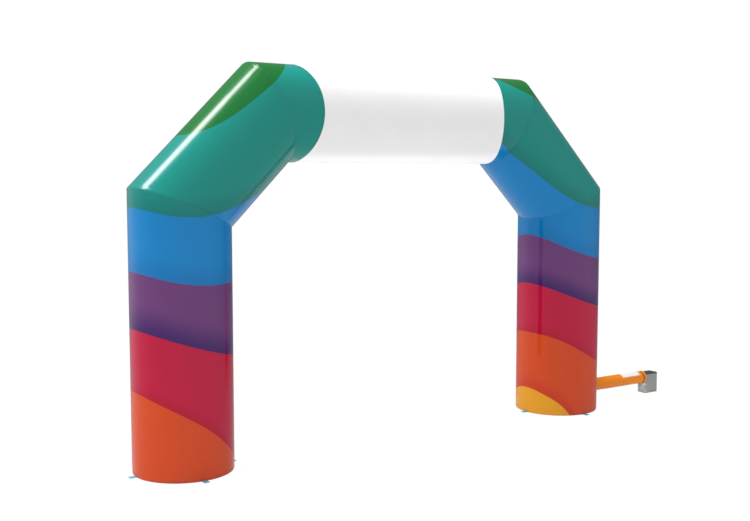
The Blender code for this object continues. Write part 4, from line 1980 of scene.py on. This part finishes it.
@dataclass
class Lamp:
    """A rectangular soft light: its size in metres, its power in watts and its spread in degrees."""

    name: str
    at: Vector
    towards: Vector
    size: tuple[float, float]
    power: float
    up: Vector = field(default_factory=UP.copy)
    mirrored: bool = False
    spread: float = 180.0

    def hang(self) -> None:
        """Adds the light at its place. Glossy things show it only where it is mirrored."""
        data = bpy.data.lights.new(self.name, "AREA")
        data.shape = "RECTANGLE"
        data.size, data.size_y = self.size
        data.energy = self.power
        data.spread = math.radians(self.spread)
        lamp = bpy.data.objects.new(self.name, data)
        back = (self.at - self.towards).normalized()
        side = self.up.cross(back).normalized()
        lamp.matrix_world = Matrix((side, back.cross(side), back)).transposed().to_4x4()
        lamp.location = self.at
        lamp.visible_glossy = self.mirrored
        bpy.context.scene.collection.objects.link(lamp)


class KeyLayer(NamedTuple):
    """One layer of the narrow key light; the layers together fade towards its edges."""

    width: float
    low: float
    high: float
    glow: float


KEY_LAYERS = (KeyLayer(1.60, -2.30, 1.45, 38.4), KeyLayer(3.15, -2.30, 0.30, 12.0),
              KeyLayer(3.15, -2.30, 0.95, 12.0), KeyLayer(6.2, -2.8, 2.8, 2.2))
SOFT_LAMPS = (
    Lamp("overhead", Vector((-0.609, 1.5, 11.0)), Vector((-0.609, 0.5, 3)), (14, 8), 1250.0),
    Lamp("side", Vector((-7.509, 0.3, 2.6)), Vector((-3.109, 0, 2.0)), (3, 3), 33.0),
)
BLOWER_LAMPS = (
    Lamp("blower_fill", Vector((2.891, -0.10, 0.75)), Vector((3.451, 0.0, 0.15)), (0.3, 0.3), 1.0),
    Lamp("blower_side", Vector((2.491, -0.36, 0.06)), Vector((3.451, -0.02, 0.06)), (0.1, 0.1), 0.075,
         spread=16.0),
)


@dataclass
class Studio:
    """The plain pale floor, the soft lights and the camera."""

    eye: Vector = field(default_factory=lambda: Vector((-7.04491, -9.40303, 2.90952)))
    pitch: float = 85.2380
    heading: float = -33.4394
    lens: float = 49.4367
    sky: float = 0.84
    dim_sky: float = 0.20
    left_sky: float = 0.72
    dim_side: Vector = field(default_factory=lambda: Vector((0.74, 0.64, 0.20)).normalized())
    backdrop: float = 1.01
    below: float = 0.80
    floor_radius: float = 12.0
    floor_drop: float = -0.0004
    floor_white: float = 0.89
    floor_shown: float = 0.06
    floor_glow: float = 0.955
    key_at: Vector = field(default_factory=lambda: Vector((-6.040, 3.205, 10.933)))
    key_towards: Vector = field(default_factory=lambda: Vector((-2.359, -0.21, 3.38)))
    key_up: Vector = field(default_factory=lambda: Vector((0.776, -0.113, 0.620)))
    key_step: float = 0.01

    def camera(self) -> None:
        """Adds the camera and makes it the scene's."""
        data = bpy.data.cameras.new("front_camera")
        data.lens, data.sensor_width = self.lens, 36.0
        data.clip_end = 500.0
        camera = bpy.data.objects.new("front_camera", data)
        camera.location = self.eye
        camera.rotation_euler = (math.radians(self.pitch), 0, math.radians(self.heading))
        bpy.context.scene.collection.objects.link(camera)
        bpy.context.scene.camera = camera

    def floor(self) -> None:
        """Adds the pale floor, which looks evenly lit to the camera as a light table does."""
        floor = Bench.disc(UP * self.floor_drop, self.floor_radius, 96)
        floor.name = "pale_floor"
        material = bpy.data.materials.new("pale_floor")
        material.use_nodes = True
        w = Wiring(material.node_tree)
        seen = w.node("LightPath").outputs["Is Camera Ray"]
        w.fill(material.node_tree.nodes["Principled BSDF"], {
            "Base Color": w.blend(seen, Colour.grey(self.floor_white), Colour.grey(self.floor_shown)),
            "Emission Color": w.blend(seen, Colour.grey(0.0), Colour.grey(self.floor_glow)),
            "Emission Strength": 1.0, "Roughness": 0.9, "Specular IOR Level": 0.0,
        })
        floor.data.materials.append(material)
        floor.visible_glossy = False

    def world(self) -> None:
        """Sets a plain white surround, a little brighter where the camera looks at it."""
        world = bpy.data.worlds.new("white_surround")
        bpy.context.scene.world = world
        world.use_nodes = True
        world.node_tree.nodes.clear()
        w = Wiring(world.node_tree)
        place = w.node("TexCoord").outputs["Generated"]
        facing = w.node("VectorMath", {0: place, 1: self.dim_side}, operation="DOT_PRODUCT").outputs["Value"]
        along, _, level = w.split(place)
        around = w.ramp(facing, 0.0, 0.90, self.sky, self.dim_sky)
        around = w.ramp(w.times(along, -1.0), 0.1, 1.0, around, self.left_sky)
        around = w.ramp(level, -0.08, -0.40, around, self.below)
        seen = w.node("LightPath").outputs["Is Camera Ray"]
        strength = w.ramp(seen, 0.0, 1.0, around, self.backdrop, smooth=False)
        shade = w.node("Background", {"Color": Colour.grey(1.0), "Strength": strength})
        w.node("OutputWorld", {"Surface": shade.outputs[0]})

    def key_lamps(self) -> list[Lamp]:
        """Works out the layers of the narrow key light, each a little behind the one before.

        Returns:
            A light for each layer.
        """
        lamps = []
        for number, (width, low, high, glow) in enumerate(KEY_LAYERS):
            shift = self.key_up * (low + high) / 2
            at = self.key_at + (self.key_at - self.key_towards) * self.key_step * number + shift
            lamps.append(Lamp(f"key_{number}", at, self.key_towards + shift, (width, high - low),
                              glow * width * (high - low), self.key_up, mirrored=True))
        return lamps

    def build(self) -> None:
        """Builds the studio and sets a plain view of its colours."""
        bpy.context.scene.view_settings.view_transform = "Standard"
        self.camera()
        self.floor()
        self.world()
        for lamp in (*SOFT_LAMPS, *self.key_lamps(), *BLOWER_LAMPS):
            lamp.hang()


def main() -> None:
    """Builds the studio, then every piece in order."""
    logging.basicConfig(level=logging.INFO, format="%(name)s: %(message)s")
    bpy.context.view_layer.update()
    Studio().build()
    Arch().build()
    for side in Side:
        FloorPanel(side).build()
    GroundTabs().build()
    AirSleeve().build()
    SleeveTie().build()
    SleevePatch().build()
    Blower().build()


if __name__ == "__main__":
    main()
